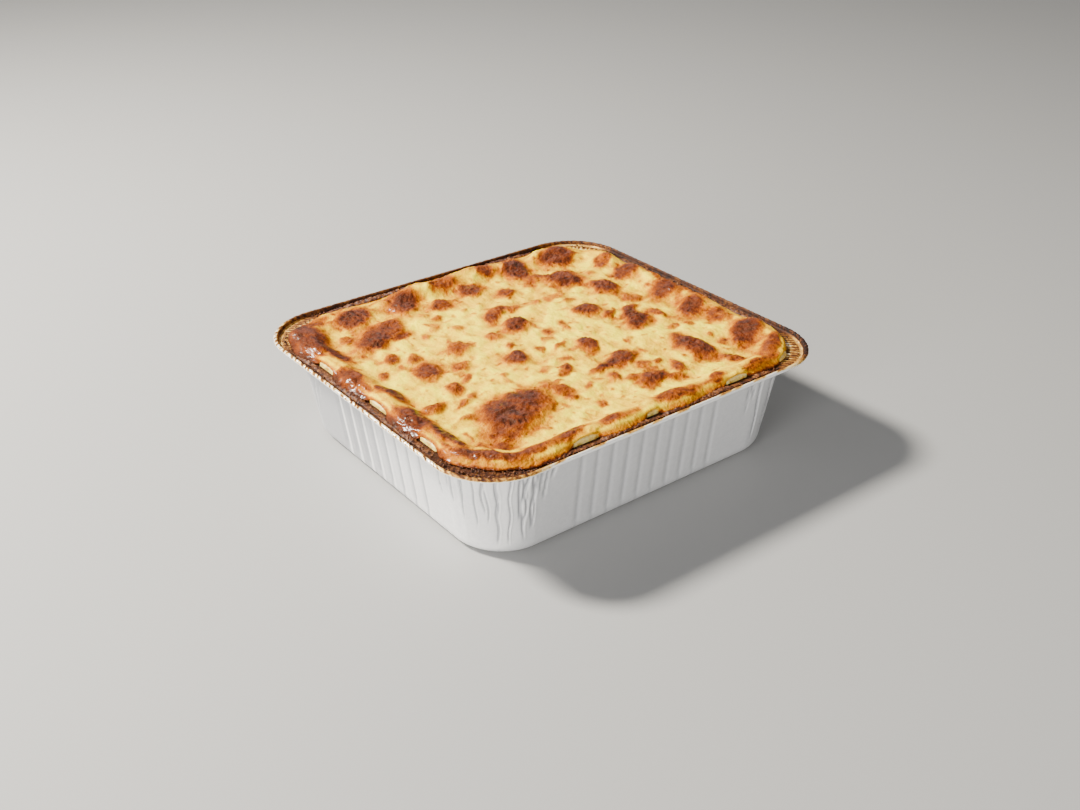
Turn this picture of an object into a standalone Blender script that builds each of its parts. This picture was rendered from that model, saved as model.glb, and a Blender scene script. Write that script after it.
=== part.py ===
# A ready meal baked in a foil tray: pasta filling, a browned cheese crust with a raised wavy
# edge, and burnt sauce on the tray's ledge. Metres, +Z up, standing on z = 0, +X along the
# longer side. The arched gaps in the crust's edge show the filling under it. The tray is two
# solids, its bowl and the ledge with the rolled rim, which meet at the wall's top.

import math

import bmesh
import bpy
import numpy as np

MM = 0.001

# The foil tray
RIM_HALF_X = 99.0 * MM
RIM_HALF_Y = 90.7 * MM
RIM_CORNER = 28.3 * MM
CORNER_LOSS = 0.3           # how much the corner radius shrinks for each metre of inset
BEAD_RADIUS = 0.95 * MM     # of the rolled bead round the rim
BEAD_MID = 48.0 * MM
LEDGE_TOP = 46.8 * MM
LEDGE_THICK = 0.5 * MM
LEDGE_OUTER = 2.9 * MM      # insets between which the ledge is flat
LEDGE_INNER = 7.4 * MM
WALL_TOP = 45.7 * MM
WALL_TOP_INSET = 9.2 * MM
TRAY_GAP = 0.3 * MM         # between the bowl and the rim that sits on it
BASE_HALF_X = 83.4 * MM
BASE_HALF_Y = 76.0 * MM
BASE_CORNER = 24.0 * MM
BASE_FILLET = 5.0 * MM
BASE_THICK = 0.5 * MM
WALL_THICK = 0.9 * MM       # from the flat panels, so 0.4 mm is left behind a groove
TRAY_CORNER_STEPS = 10
GROOVE_HALF_WIDTH = 1.8 * MM
GROOVE_DEPTH = 0.5 * MM
GROOVES_LONG = 10           # on the two walls along X
GROOVE_PITCH_LONG = 8.33 * MM
GROOVE_SHIFT_LONG = -2.5 * MM
GROOVES_SHORT = 8           # on the two walls along Y
GROOVE_PITCH_SHORT = 9.4 * MM
GROOVE_FADE = 3.0 * MM      # height over which a groove comes and goes
CREASE_DEPTH = 0.3 * MM     # of the creases in the tray's corners

# The food
GAP = 0.35 * MM             # between neighbouring pieces
GRID_X = 36                 # squares across the crust's flat middle
GRID_Y = 32
CORNER_STEPS = 8
FILLING_FACE = 9.0 * MM     # inset of the filling's upright face above the ledge
CREST_INSET = 11.5 * MM
SLOPE_END = 23.0 * MM       # inset where the edge's inner slope reaches the flat middle
CREST_TOP = 50.2 * MM       # height of the edge between its lumps
CREST_LEAST = 48.4 * MM
CREST_RELIEF = 0.35         # share of the surface's waves that is left on the edge
CRUST_ON_CREST = 1.6 * MM
FILLING_TOP = 43.3 * MM
CRUST_TOP = 46.6 * MM
SKIRT_INSET = 7.4 * MM      # inset of the crust's outer face between its lumps
SKIRT_LEAST = 4.7 * MM
SKIRT_FOOT = LEDGE_TOP + 0.45 * MM
FACE_BEHIND_SKIRT = 1.5 * MM
SHOULDER_DROP = 0.8 * MM    # from the filling's crest to the top of its upright face
SHOULDER_LEAST = LEDGE_TOP + 0.5 * MM
ARCH_LIP = 1.3 * MM         # least height of crust left above an arched gap

# Lumps of the crust's raised edge, in mm: x, y, length, rise above CREST_TOP, outward bulge
EDGE_LUMPS = [
    (87, -56, 14, 1.5, 0.3), (87, -33, 12, -1.4, 0.2), (87, -12, 11, 0.4, 0.5),
    (87, 9, 11, 0.5, 0.7), (87, 28, 10, 0.5, 0.4), (87, 43, 9, -1.9, 0.1),
    (87, 55, 9, 0.4, 0.5), (82, 68, 14, -1.9, -0.3), (70, 78, 11, 0.3, 0.4),
    (51, 79, 12, -1.9, 0.1), (38, 79, 9, -0.5, 0.5), (15, 79, 17, 1.9, 1.3),
    (-14, 79, 16, 1.6, 1.4), (-38, 79, 18, -2.8, 0.1), (-57, 79, 12, -1.2, 0.3),
    (-71, 77, 13, -2.2, -0.3), (-84, 65, 13, 2.8, 2.2), (-88, 50, 15, 1.6, 2.3),
    (-88, 15, 15, 1.2, 2.4), (-88, -25, 15, 1.4, 2.4), (-87, -58, 12, 1.0, 0.3),
    (-81, -71, 24, 0.8, -1.6), (-56, -79, 19, 1.2, 2.0), (-21, -79, 20, 1.2, 2.4),
    (11, -79, 19, 1.2, 2.6), (58, -79, 18, 1.0, -0.3), (80, -71, 16, 0.8, 0.2),
]

# Arched gaps, in mm: x, y, half width, height of the top
ARCHES = [
    (-88, 32, 6.6, 49.9), (-88, -9, 6.8, 49.9), (-87, -45, 6.0, 49.9), (-39, -79, 6.6, 49.9),
    (-5, -79, 3.6, 49.6), (42, -79, 6.6, 49.9), (72, -75, 5.0, 49.2), (88, -2, 5.0, 49.2),
    (88, 20, 5.0, 49.2), (62, 79, 5.0, 48.9), (0, 79, 4.5, 48.7),
]

# The largest blisters, in mm: x, y, length, width, turn in degrees, rise
BLISTERS = [
    (-52, -47, 38, 26, 25, 2.2), (-53, 49, 32, 16, 33, 1.4), (-56, 70, 18, 16, 20, 1.2),
    (-26, 70, 22, 16, 60, 1.2), (8, 67, 14, 13, 0, 1.1), (42, 71, 20, 15, 60, 1.3),
    (69, 69, 20, 18, 30, 1.1), (55, 51, 24, 20, -40, 1.3), (65, 31, 16, 13, 100, 1.2),
    (39, 14, 17, 13, -30, 1.2), (4, 23, 16, 12, 40, 1.3), (2, 38, 20, 9, 20, 0.9),
    (-32, 18, 13, 11, 0, 0.9), (-57, 6, 18, 11, 70, 1.2), (-16, -5, 14, 12, 80, 1.2),
    (17, -14, 15, 10, 70, 1.2), (52, -10, 20, 15, 40, 1.3), (16, -35, 26, 11, 10, 1.3),
    (53, -46, 26, 14, 95, 1.5), (19, -58, 20, 11, 0, 1.2), (58, -66, 12, 9, 90, 1.0),
    (34, -57, 14, 7, 70, 0.9), (80, -50, 20, 13, 35, 1.3), (82, -14, 16, 12, 45, 1.0),
]

# Burnt sauce on the ledge: name and the stretch of the outline it covers (see outline)
SAUCE_STRETCHES = [
    ("burnt_sauce_right", 0.06, 0.94), ("burnt_sauce_back", 2.04, 2.96),
    ("burnt_sauce_left", 4.04, 4.96), ("burnt_sauce_front", 6.04, 6.96),
]
SAUCE_FOOT = LEDGE_TOP + 0.4 * MM
SAUCE_OUTER = 3.1 * MM      # inset of its outer side, clear of the rolled bead
SAUCE_RISE = 1.3 * MM


def outline(half_x, half_y, radius, places):
    # A rounded rectangle. Place 0 to 1 runs up the +X side, 1 to 2 round the next corner, and
    # so on anticlockwise to 8. Returns the points and the outward directions.
    leg = np.floor(places).astype(int) % 8
    part = places - np.floor(places)
    turn = leg // 2
    in_corner = leg % 2 == 1
    out_half = np.where(turn % 2 == 0, half_x, half_y)
    straight = np.where(turn % 2 == 0, half_y, half_x) - radius
    face = turn * math.pi / 2
    angle = face + np.where(in_corner, part * math.pi / 2, 0.0)
    along = np.where(in_corner, straight, straight * (2.0 * part - 1.0))
    out = out_half - radius
    x = out * np.cos(face) - along * np.sin(face) + radius * np.cos(angle)
    y = out * np.sin(face) + along * np.cos(face) + radius * np.sin(angle)
    return np.stack([x, y], axis=1), np.stack([np.cos(angle), np.sin(angle)], axis=1)


def inset_ring(inset, height, places):
    # One ring at an inset from the rim's outline. Both may differ from place to place.
    radius = RIM_CORNER - CORNER_LOSS * inset
    flat, _ = outline(RIM_HALF_X - inset, RIM_HALF_Y - inset, radius, places)
    return np.column_stack([flat, np.broadcast_to(height, len(places))])


def food_places():
    # Places round the outline for the food, from the middle of the (-X, -Y) corner, so that a
    # square grid's four corners fall in the middle of the rounded corners.
    corner = np.arange(CORNER_STEPS) / CORNER_STEPS
    steps_long = GRID_X - CORNER_STEPS
    steps_short = GRID_Y - CORNER_STEPS
    legs = []
    for leg in range(8):
        steps = steps_long if leg in (2, 6) else steps_short
        part = corner if leg % 2 else np.arange(steps) / steps
        legs.append(leg + part)
    places = np.concatenate(legs)
    start = int(np.argmin(np.abs(places - 5.5)))
    return np.roll(places, -start)


def solid(name, vertices, faces, material):
    mesh = bpy.data.meshes.new(name)
    mesh.from_pydata([tuple(v) for v in vertices], [], faces)
    bm = bmesh.new()
    bm.from_mesh(mesh)
    bmesh.ops.recalc_face_normals(bm, faces=bm.faces)
    bm.to_mesh(mesh)
    bm.free()
    mesh.shade_smooth()
    mesh.set_sharp_from_angle(angle=math.radians(40))
    mesh.materials.append(material)
    item = bpy.data.objects.new(name, mesh)
    bpy.context.scene.collection.objects.link(item)
    return item


def loft(name, rings, material):
    # Joins closed rings of equal length by quads and closes both ends with a flat face.
    count = len(rings[0])
    faces = [list(range(count))]
    for k in range(len(rings) - 1):
        faces += strip(k * count, (k + 1) * count, count)
    faces.append([(len(rings) - 1) * count + i for i in range(count)])
    return solid(name, np.concatenate(rings), faces, material)


def strip(first, second, count):
    pairs = [(i, (i + 1) % count) for i in range(count)]
    return [[first + i, first + j, second + j, second + i] for i, j in pairs]


def drop_flat_edges(item):
    # Merges coplanar faces, so that the straight runs of a ring cost few triangles.
    bm = bmesh.new()
    bm.from_mesh(item.data)
    bmesh.ops.dissolve_limit(bm, angle_limit=math.radians(0.05), verts=bm.verts, edges=bm.edges)
    bm.to_mesh(item.data)
    bm.free()


def material(name, colour, roughness, metallic=0.0):
    made = bpy.data.materials.new(name)
    made.use_nodes = True
    shader = made.node_tree.nodes["Principled BSDF"]
    shader.inputs["Base Color"].default_value = (*colour, 1.0)
    shader.inputs["Roughness"].default_value = roughness
    shader.inputs["Metallic"].default_value = metallic
    made.diffuse_color = (*colour, 1.0)
    return made


# The tray


def groove_marks(count, pitch, shift):
    # Places of each groove's two edges and its bottom along a straight wall, and the depths.
    middle = (np.arange(count) - (count - 1) / 2) * pitch + shift
    marks = (middle[:, None] + np.array([-GROOVE_HALF_WIDTH, 0.0, GROOVE_HALF_WIDTH])).ravel()
    depths = np.tile([0.0, GROOVE_DEPTH, 0.0], count)
    return marks, depths


def tray_layout():
    # Per leg of the outline: marks along it (metres on a wall, a fraction in a corner), depths.
    corner = np.arange(TRAY_CORNER_STEPS + 1) / TRAY_CORNER_STEPS
    crease = np.where(np.arange(TRAY_CORNER_STEPS + 1) % 2 == 1, CREASE_DEPTH, 0.0)
    legs = []
    for leg in range(8):
        if leg % 2:
            legs.append((corner, crease))
        elif leg in (2, 6):
            # The long walls run in opposite directions, so the shift changes sign.
            shift = GROOVE_SHIFT_LONG if leg == 6 else -GROOVE_SHIFT_LONG
            legs.append(groove_marks(GROOVES_LONG, GROOVE_PITCH_LONG, shift))
        else:
            legs.append(groove_marks(GROOVES_SHORT, GROOVE_PITCH_SHORT, 0.0))
    return legs


def tray_ring(layout, half_x, half_y, radius, height, relief=0.0):
    rows = []
    for leg, (marks, depths) in enumerate(layout):
        if leg % 2:
            part = np.minimum(marks, 1.0 - 1e-9)
        else:
            straight = (half_y if leg in (0, 4) else half_x) - radius
            part = (marks / straight + 1.0) / 2.0
        flat, outward = outline(half_x, half_y, radius, leg + part)
        flat = flat - outward * (depths * relief)[:, None]
        rows.append(np.column_stack([flat, np.full(len(flat), height)]))
    return np.concatenate(rows)


def wall_section(height, inset=0.0):
    # Half sizes and corner radius of the tapered wall at a height.
    t = height / WALL_TOP
    top_corner = RIM_CORNER - CORNER_LOSS * WALL_TOP_INSET
    half_x = BASE_HALF_X + t * (RIM_HALF_X - WALL_TOP_INSET - BASE_HALF_X)
    half_y = BASE_HALF_Y + t * (RIM_HALF_Y - WALL_TOP_INSET - BASE_HALF_Y)
    radius = BASE_CORNER + t * (top_corner - BASE_CORNER)
    return half_x - inset, half_y - inset, radius - inset


def bowl_sections(inset, floor):
    # The rounded bottom edge and the wall of the tray, or of what fills it, from the bottom
    # up, as (half x, half y, radius, height, share of the groove depth).
    sections = []
    fillet = BASE_FILLET - inset
    for degrees in (0, 45, 90):
        angle = math.radians(degrees)
        height = floor + fillet * (1.0 - math.cos(angle))
        tuck = inset + fillet * (1.0 - math.sin(angle))
        sections.append((*wall_section(height, tuck), height, 0.0))
    low = BASE_FILLET + GROOVE_FADE
    high = WALL_TOP - GROOVE_FADE
    sections.append((*wall_section(low, inset), low, 1.0))
    sections.append((*wall_section(high, inset), high, 1.0))
    return sections


def foil_tray(foil):
    layout = tray_layout()
    rings = []
    for half_x, half_y, radius, height, relief in bowl_sections(0.0, 0.0):
        rings.append(tray_ring(layout, half_x, half_y, radius, height, relief))
    rings.append(tray_ring(layout, *wall_section(WALL_TOP), WALL_TOP))
    rings.append(tray_ring(layout, *wall_section(WALL_TOP, WALL_THICK), WALL_TOP))
    for half_x, half_y, radius, height, _ in reversed(bowl_sections(WALL_THICK, BASE_THICK)):
        rings.append(tray_ring(layout, half_x, half_y, radius, height))
    tray = loft("foil_tray", rings, foil)
    drop_flat_edges(tray)


def rim_profile():
    # The ledge with the rolled bead, as (inset, height) from the seat on the wall outwards
    # under the ledge, round the bead and back over the ledge.
    seat = WALL_TOP + TRAY_GAP
    under = LEDGE_TOP - LEDGE_THICK
    inner = WALL_TOP_INSET + WALL_THICK
    points = [
        (inner, seat), (WALL_TOP_INSET, seat), (LEDGE_INNER + 1.0 * MM, under - 0.05 * MM),
        (LEDGE_INNER + 0.4 * MM, under), (LEDGE_OUTER, under),
        (LEDGE_OUTER - 0.7 * MM, under + 0.3 * MM), (LEDGE_OUTER - 1.3 * MM, under + 0.8 * MM),
    ]
    for degrees in (-90, -45, 0, 45, 90, 135, 180):
        angle = math.radians(degrees)
        across = BEAD_RADIUS * (1.0 - math.cos(angle))
        points.append((across, BEAD_MID + BEAD_RADIUS * math.sin(angle)))
    points += [
        (2.0 * BEAD_RADIUS + 0.15 * MM, LEDGE_TOP + 0.5 * MM),
        (LEDGE_OUTER - 0.4 * MM, LEDGE_TOP + 0.1 * MM), (LEDGE_OUTER, LEDGE_TOP),
        (LEDGE_INNER, LEDGE_TOP), (LEDGE_INNER + 1.4 * MM, LEDGE_TOP - 0.2 * MM),
        (inner - 0.4 * MM, seat + 0.3 * MM),
    ]
    return points


def tray_rim(foil):
    corner = np.arange(TRAY_CORNER_STEPS) / TRAY_CORNER_STEPS
    places = np.concatenate([[leg] if leg % 2 == 0 else leg + corner for leg in range(8)])
    vertices = [inset_ring(inset, height, places) for inset, height in rim_profile()]
    count = len(places)
    faces = []
    for k in range(len(vertices)):
        faces += strip(k * count, (k + 1) % len(vertices) * count, count)
    solid("tray_rim", np.concatenate(vertices), faces, foil)


# The food


def edge_values(places):
    # Per place: height of the crust's crest, inset of its outer face, height of its foot.
    points = inset_ring(CREST_INSET, 0.0, places)[:, :2] / MM
    crest = np.full(len(places), CREST_TOP)
    skirt = np.full(len(places), SKIRT_INSET)
    foot = np.full(len(places), SKIRT_FOOT)
    for x, y, length, rise, bulge in EDGE_LUMPS:
        away = np.hypot(points[:, 0] - x, points[:, 1] - y) / (0.5 * length)
        lump = np.exp(-away ** 2)
        crest += rise * lump * MM
        skirt -= bulge * lump * MM
    crest = np.maximum(crest, CREST_LEAST)
    skirt = np.maximum(skirt, SKIRT_LEAST)
    for x, y, half_width, top in ARCHES:
        away = np.hypot(points[:, 0] - x, points[:, 1] - y) / half_width
        arch = np.sqrt(np.clip(1.0 - away ** 2, 0.0, 1.0))
        foot = np.maximum(foot, SKIRT_FOOT + (top * MM - SKIRT_FOOT) * arch)
        near = np.clip(2.8 - 2.0 * away, 0.0, 1.0)
        lintel = top * MM + ARCH_LIP
        crest = np.where(near > 0.0, np.maximum(crest, crest + (lintel - crest) * near), crest)
        skirt += (SKIRT_INSET + 0.3 * MM - skirt) * near
    return crest, skirt, foot


def filling_face(crest, skirt):
    # Inset of the filling's upright face behind the crust's outer face, and the face's top.
    shoulder = np.maximum(crest - CRUST_ON_CREST - SHOULDER_DROP, SHOULDER_LEAST)
    return np.maximum(FILLING_FACE, skirt + FACE_BEHIND_SKIRT), shoulder


def slope(inset):
    # 1 on the crest, 0 where the inner slope ends, by half a cosine wave.
    along = (inset - CREST_INSET) / (SLOPE_END - CREST_INSET)
    return 0.5 + 0.5 * math.cos(math.pi * along)


def relief(x, y):
    # Soft waves of the melted surface plus a low dome for each blister, in metres.
    x = x / MM
    y = y / MM
    wave = 0.45 * np.sin(x / 17.0 + 0.6) * np.cos(y / 14.0 - 0.4)
    wave += 0.25 * np.sin((x + 1.7 * y) / 11.0 + 1.9)
    for cx, cy, length, width, degrees, rise in BLISTERS:
        angle = math.radians(degrees)
        u = ((x - cx) * math.cos(angle) + (y - cy) * math.sin(angle)) / (0.5 * length)
        v = ((y - cy) * math.cos(angle) - (x - cx) * math.sin(angle)) / (0.5 * width)
        wave += rise * np.clip(1.0 - u ** 2 - v ** 2, 0.0, 1.0) ** 0.7
    return wave * MM


def pasta_filling(places):
    crest, skirt, _ = edge_values(places)
    top = crest - CRUST_ON_CREST
    face, shoulder = filling_face(crest, skirt)
    rings = []
    for half_x, half_y, radius, height, _ in bowl_sections(WALL_THICK + GAP, BASE_THICK + GAP):
        flat, _ = outline(half_x, half_y, radius, places)
        rings.append(np.column_stack([flat, np.full(len(places), height)]))
    # Up past the wall's top and the rim's inner corner, then out over the ledge
    rim_inner = WALL_TOP_INSET + WALL_THICK
    rings.append(inset_ring(rim_inner + GAP, WALL_TOP - 0.3 * MM, places))
    rings.append(inset_ring(rim_inner + 0.3 * MM, LEDGE_TOP - 0.4 * MM, places))
    rings.append(inset_ring(rim_inner - 0.4 * MM, LEDGE_TOP + 0.2 * MM, places))
    rings.append(inset_ring(face, LEDGE_TOP + 0.35 * MM, places))
    rings.append(inset_ring(face + 0.2 * MM, shoulder, places))
    for inset in slope_insets():
        rings.append(inset_ring(inset, FILLING_TOP + (top - FILLING_TOP) * slope(inset), places))
    filling = loft("pasta_filling", rings, material("pasta", (0.83, 0.72, 0.50), 0.5))
    drop_flat_edges(filling)


def slope_insets():
    return [CREST_INSET, CREST_INSET + 3.6 * MM, CREST_INSET + 7.4 * MM, SLOPE_END]


def middle_grid(ring):
    # A square grid whose border is the given ring: each side blended towards its opposite.
    n, m = GRID_X, GRID_Y
    low = ring[:n + 1]
    right = ring[n:n + m + 1]
    high = ring[n + m:2 * n + m + 1][::-1]
    left = np.concatenate([ring[2 * n + m:], ring[:1]])[::-1]
    u = (np.arange(n + 1) / n)[None, :, None]
    v = (np.arange(m + 1) / m)[:, None, None]
    blend = (1 - v) * low[None] + v * high[None] + (1 - u) * left[:, None] + u * right[:, None]
    blend -= (1 - u) * (1 - v) * low[0] + u * (1 - v) * low[-1]
    blend -= (1 - u) * v * high[0] + u * v * high[-1]
    return blend


def border_of(grid_index):
    # Grid indices round the border, in the ring's order.
    low = grid_index[0, :-1]
    right = grid_index[:-1, -1]
    high = grid_index[-1, :0:-1]
    left = grid_index[:0:-1, 0]
    return np.concatenate([low, right, high, left])


def cheese_crust(places):
    crest, skirt, foot = edge_values(places)
    count = len(places)
    lip = crest - foot
    rings = []
    for inset in reversed(slope_insets()):
        ring = inset_ring(inset, CRUST_TOP + (crest - CRUST_TOP) * slope(inset), places)
        share = 1.0 - (1.0 - CREST_RELIEF) * slope(inset)
        ring[:, 2] += share * relief(ring[:, 0], ring[:, 1])
        rings.append(ring)
    rings.append(inset_ring(skirt + 1.9 * MM, crest - 0.14 * lip, places))
    rings.append(inset_ring(skirt + 0.5 * MM, foot + 0.55 * lip, places))
    rings.append(inset_ring(skirt, foot + 0.25 * lip, places))
    rings.append(inset_ring(skirt + 0.2 * MM, foot, places))
    under = crest - CRUST_ON_CREST
    face, shoulder = filling_face(crest, skirt)
    inner = face - 1.1 * GAP
    rings.append(inset_ring(inner, foot, places))
    inner_top = np.maximum(shoulder + 1.1 * GAP, foot + 0.3 * MM)
    rings.append(inset_ring(inner + 0.1 * MM, inner_top, places))
    bottom = FILLING_TOP + 1.2 * GAP
    for inset in slope_insets():
        height = bottom + (under + 1.2 * GAP - bottom) * slope(inset)
        rings.append(inset_ring(inset, height, places))

    grid = middle_grid(rings[0])
    grid[..., 2] = CRUST_TOP + relief(grid[..., 0], grid[..., 1])
    rows, columns = grid.shape[:2]
    index = np.arange(rows * columns).reshape(rows, columns)
    faces = []
    for j in range(rows - 1):
        for i in range(columns - 1):
            faces.append([index[j, i], index[j, i + 1], index[j + 1, i + 1], index[j + 1, i]])
    border = border_of(index)
    start = rows * columns
    for i in range(count):
        j = (i + 1) % count
        faces.append([border[i], border[j], start + j, start + i])
    outer = rings[1:]
    for k in range(len(outer) - 1):
        faces += strip(start + k * count, start + (k + 1) * count, count)
    faces.append([start + (len(outer) - 1) * count + i for i in range(count)])
    faces = [[int(v) for v in face] for face in faces]
    vertices = np.concatenate([grid.reshape(-1, 3)] + outer)
    return solid("cheese_crust", vertices, faces, material("cheese", (0.87, 0.70, 0.36), 0.45))


def burnt_sauce(name, first, last, places, paint):
    # A lumpy strip on the ledge between the rim's lip and the crust, tapered at both ends.
    own = np.sort(places[(places >= first) & (places <= last)])
    _, skirt, _ = edge_values(own)
    ends = np.minimum(own - first, last - own)
    swell = np.clip(ends / (0.12 * (last - first)), 0.25, 1.0) ** 0.5
    bump = 0.75 + 0.25 * np.sin(own * 61.0) * np.cos(own * 23.0)
    rise = SAUCE_RISE * swell * bump
    inner = skirt - 0.45 * MM
    width = inner - SAUCE_OUTER
    profile = [(0.0, 0.0), (0.0, 0.45), (0.3, 1.0), (0.75, 0.85), (1.0, 0.25), (1.0, 0.0)]
    vertices = []
    for across, up in profile:
        vertices.append(inset_ring(SAUCE_OUTER + across * width, SAUCE_FOOT + up * rise, own))
    vertices = np.stack(vertices, axis=1).reshape(-1, 3)
    count = len(profile)
    faces = [list(range(count))]
    for k in range(len(own) - 1):
        faces += strip(k * count, (k + 1) * count, count)
    faces.append([(len(own) - 1) * count + i for i in range(count)])
    solid(name, vertices, faces, paint)


def main():
    for item in list(bpy.data.objects):
        bpy.data.objects.remove(item, do_unlink=True)
    places = food_places()
    foil = material("foil", (0.78, 0.78, 0.79), 0.38, 1.0)
    foil_tray(foil)
    tray_rim(foil)
    pasta_filling(places)
    cheese_crust(places)
    paint = material("burnt_sauce", (0.12, 0.05, 0.025), 0.6)
    for name, first, last in SAUCE_STRETCHES:
        burnt_sauce(name, first, last, places, paint)


main()
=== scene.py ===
import math
import bmesh
import bpy
import numpy as np
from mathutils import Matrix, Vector


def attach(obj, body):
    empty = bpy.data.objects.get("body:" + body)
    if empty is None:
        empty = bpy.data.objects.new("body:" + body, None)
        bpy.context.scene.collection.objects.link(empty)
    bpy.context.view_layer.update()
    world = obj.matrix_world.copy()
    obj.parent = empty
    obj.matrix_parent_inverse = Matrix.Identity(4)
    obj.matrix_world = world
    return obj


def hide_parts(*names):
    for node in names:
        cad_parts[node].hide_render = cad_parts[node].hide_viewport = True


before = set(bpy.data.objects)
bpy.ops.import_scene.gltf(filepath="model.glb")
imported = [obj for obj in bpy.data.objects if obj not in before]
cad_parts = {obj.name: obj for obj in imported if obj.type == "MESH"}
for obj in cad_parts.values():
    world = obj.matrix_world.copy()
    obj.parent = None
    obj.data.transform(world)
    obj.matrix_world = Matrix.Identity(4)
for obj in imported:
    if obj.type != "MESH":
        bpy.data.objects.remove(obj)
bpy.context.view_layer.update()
mm = 0.001
print("frame loaded:", len(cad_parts), "nodes")

# Sizes shared by every piece, in mm, as in the frame: the rim's outline, its bead and ledge
rim = {"halfX": 99.0, "halfY": 90.7, "corner": 28.3, "cornerLoss": 0.3, "bead": 0.95,
       "beadMiddle": 48.0, "ledge": 46.8, "wallTop": 45.7, "wallTopInset": 9.2}
base = {"halfX": 83.4, "halfY": 76.0, "corner": 24.0}


# Camera and light

view = {"place": (-309.0, -400.08, 296.58), "target": (-6.64, -9.58, 20.0), "lens": 40.862}


def addCamera():
    camera = bpy.data.cameras.new("camera")
    camera.lens = view["lens"]
    camera.sensor_width = 36.0
    camera.clip_start = 0.01
    item = bpy.data.objects.new("camera", camera)
    item.location = Vector(view["place"]) * mm
    aim = (Vector(view["target"]) - Vector(view["place"])).normalized()
    item.rotation_euler = aim.to_track_quat("-Z", "Y").to_euler()
    bpy.context.scene.collection.objects.link(item)
    bpy.context.scene.camera = item


lights = {
    # name: direction towards the light, distance in m, size in m, power in W, colour
    "keyLight": ((-0.52, 0.52, 0.76), 1.2, 0.20, 54.0, (1.0, 0.95, 0.86)),
    "leftFill": ((-0.93, -0.34, 0.16), 1.5, 0.7, 31.0, (1.0, 1.0, 1.0)),
    "frontFill": ((0.15, -0.95, 0.12), 1.5, 0.9, 8.5, (1.0, 1.0, 1.0)),
    "backSheen": ((0.50, 0.80, 0.50), 1.6, 0.7, 1.0, (1.0, 1.0, 1.0)),
}
worldLight = ((1.0, 1.0, 1.0), 0.30)
floorLook = {"colour": (0.34, 0.337, 0.33), "roughness": 0.7, "half": 2.0}


def addLights():
    for name, (direction, distance, size, power, colour) in lights.items():
        lamp = bpy.data.lights.new(name, "AREA")
        lamp.shape = "DISK"
        lamp.size = size
        lamp.energy = power
        lamp.color = colour
        item = bpy.data.objects.new(name, lamp)
        away = Vector(direction).normalized()
        item.location = away * distance
        item.rotation_euler = (-away).to_track_quat("-Z", "Y").to_euler()
        bpy.context.scene.collection.objects.link(item)
    world = bpy.data.worlds.new("studio")
    world.use_nodes = True
    back = world.node_tree.nodes["Background"]
    back.inputs["Color"].default_value = (*worldLight[0], 1.0)
    back.inputs["Strength"].default_value = worldLight[1]
    bpy.context.scene.world = world


def addFloor():
    half = floorLook["half"]
    corners = [(-half, -half, 0), (half, -half, 0), (half, half, 0), (-half, half, 0)]
    mesh = bpy.data.meshes.new("floor")
    mesh.from_pydata(corners, [], [(0, 1, 2, 3)])
    item = bpy.data.objects.new("floor", mesh)
    bpy.context.scene.collection.objects.link(item)
    paint = bpy.data.materials.new("floorPaint")
    paint.use_nodes = True
    shader = paint.node_tree.nodes["Principled BSDF"]
    shader.inputs["Base Color"].default_value = (*floorLook["colour"], 1.0)
    shader.inputs["Roughness"].default_value = floorLook["roughness"]
    mesh.materials.append(paint)


# Number helpers, all on whole arrays


def smooth(low, high, value):
    # 0 below low, 1 above high, a smooth step between them
    t = np.clip((value - low) / (high - low), 0.0, 1.0)
    return t * t * (3.0 - 2.0 * t)


def latticeAngle(ix, iy, seed):
    # a repeatable pseudo-random angle for each whole-number lattice point
    value = np.sin(ix * 127.1 + iy * 311.7 + seed * 74.7) * 43758.5453
    return 2.0 * math.pi * (value - np.floor(value))


def softNoise(x, y, size, seed):
    # gradient noise from about -1 to 1: slopes at lattice points a size apart, blended
    px, py = x / size, y / size
    ix, iy = np.floor(px), np.floor(py)
    fx, fy = px - ix, py - iy
    wx = fx ** 3 * (fx * (6.0 * fx - 15.0) + 10.0)
    wy = fy ** 3 * (fy * (6.0 * fy - 15.0) + 10.0)
    total = 0.0
    for dx in (0, 1):
        for dy in (0, 1):
            angle = latticeAngle(ix + dx, iy + dy, seed)
            slope = np.cos(angle) * (fx - dx) + np.sin(angle) * (fy - dy)
            total = total + slope * (wx if dx else 1.0 - wx) * (wy if dy else 1.0 - wy)
    return 1.5 * total


def layeredNoise(x, y, size, seed, layers=3):
    # soft noise plus halves of itself at half the size
    total = 0.0
    for k in range(layers):
        total = total + softNoise(x, y, size / 2 ** k, seed + 13 * k) / 2 ** k
    return total


def wrinkles(x, y, size, seed):
    # rounded ridges where the soft noise crosses zero, from 0 to 1
    return (1.0 - np.abs(softNoise(x, y, size, seed))) ** 2


# Mesh helpers


def gridFaces(rows, columns, wrap):
    # quads between neighbouring rows; wrap joins the last column to the first
    index = np.arange(rows * columns).reshape(rows, columns)
    side = np.roll(index, -1, axis=1) if wrap else index[:, 1:]
    base = index if wrap else index[:, :-1]
    quads = np.stack([base[:-1], side[:-1], side[1:], base[1:]], axis=-1)
    return quads.reshape(-1, 4)


def poleFaces(ring, pole):
    # a fan of triangles from a ring of vertices to one in its middle
    ring = np.asarray(ring)
    return np.stack([ring, np.roll(ring, -1), np.full(len(ring), pole)], axis=-1)


def cappedTube(rings, poles):
    # a closed piece: quads between neighbouring rings and a fan to a pole at each end
    rows, count = rings.shape[:2]
    points = np.concatenate([rings.reshape(-1, 3), np.array(poles)])
    first = np.arange(count)
    fans = np.concatenate([poleFaces(first, rows * count)[:, ::-1],
                           poleFaces((rows - 1) * count + first, rows * count + 1)])
    return points, gridFaces(rows, count, True), fans


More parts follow.
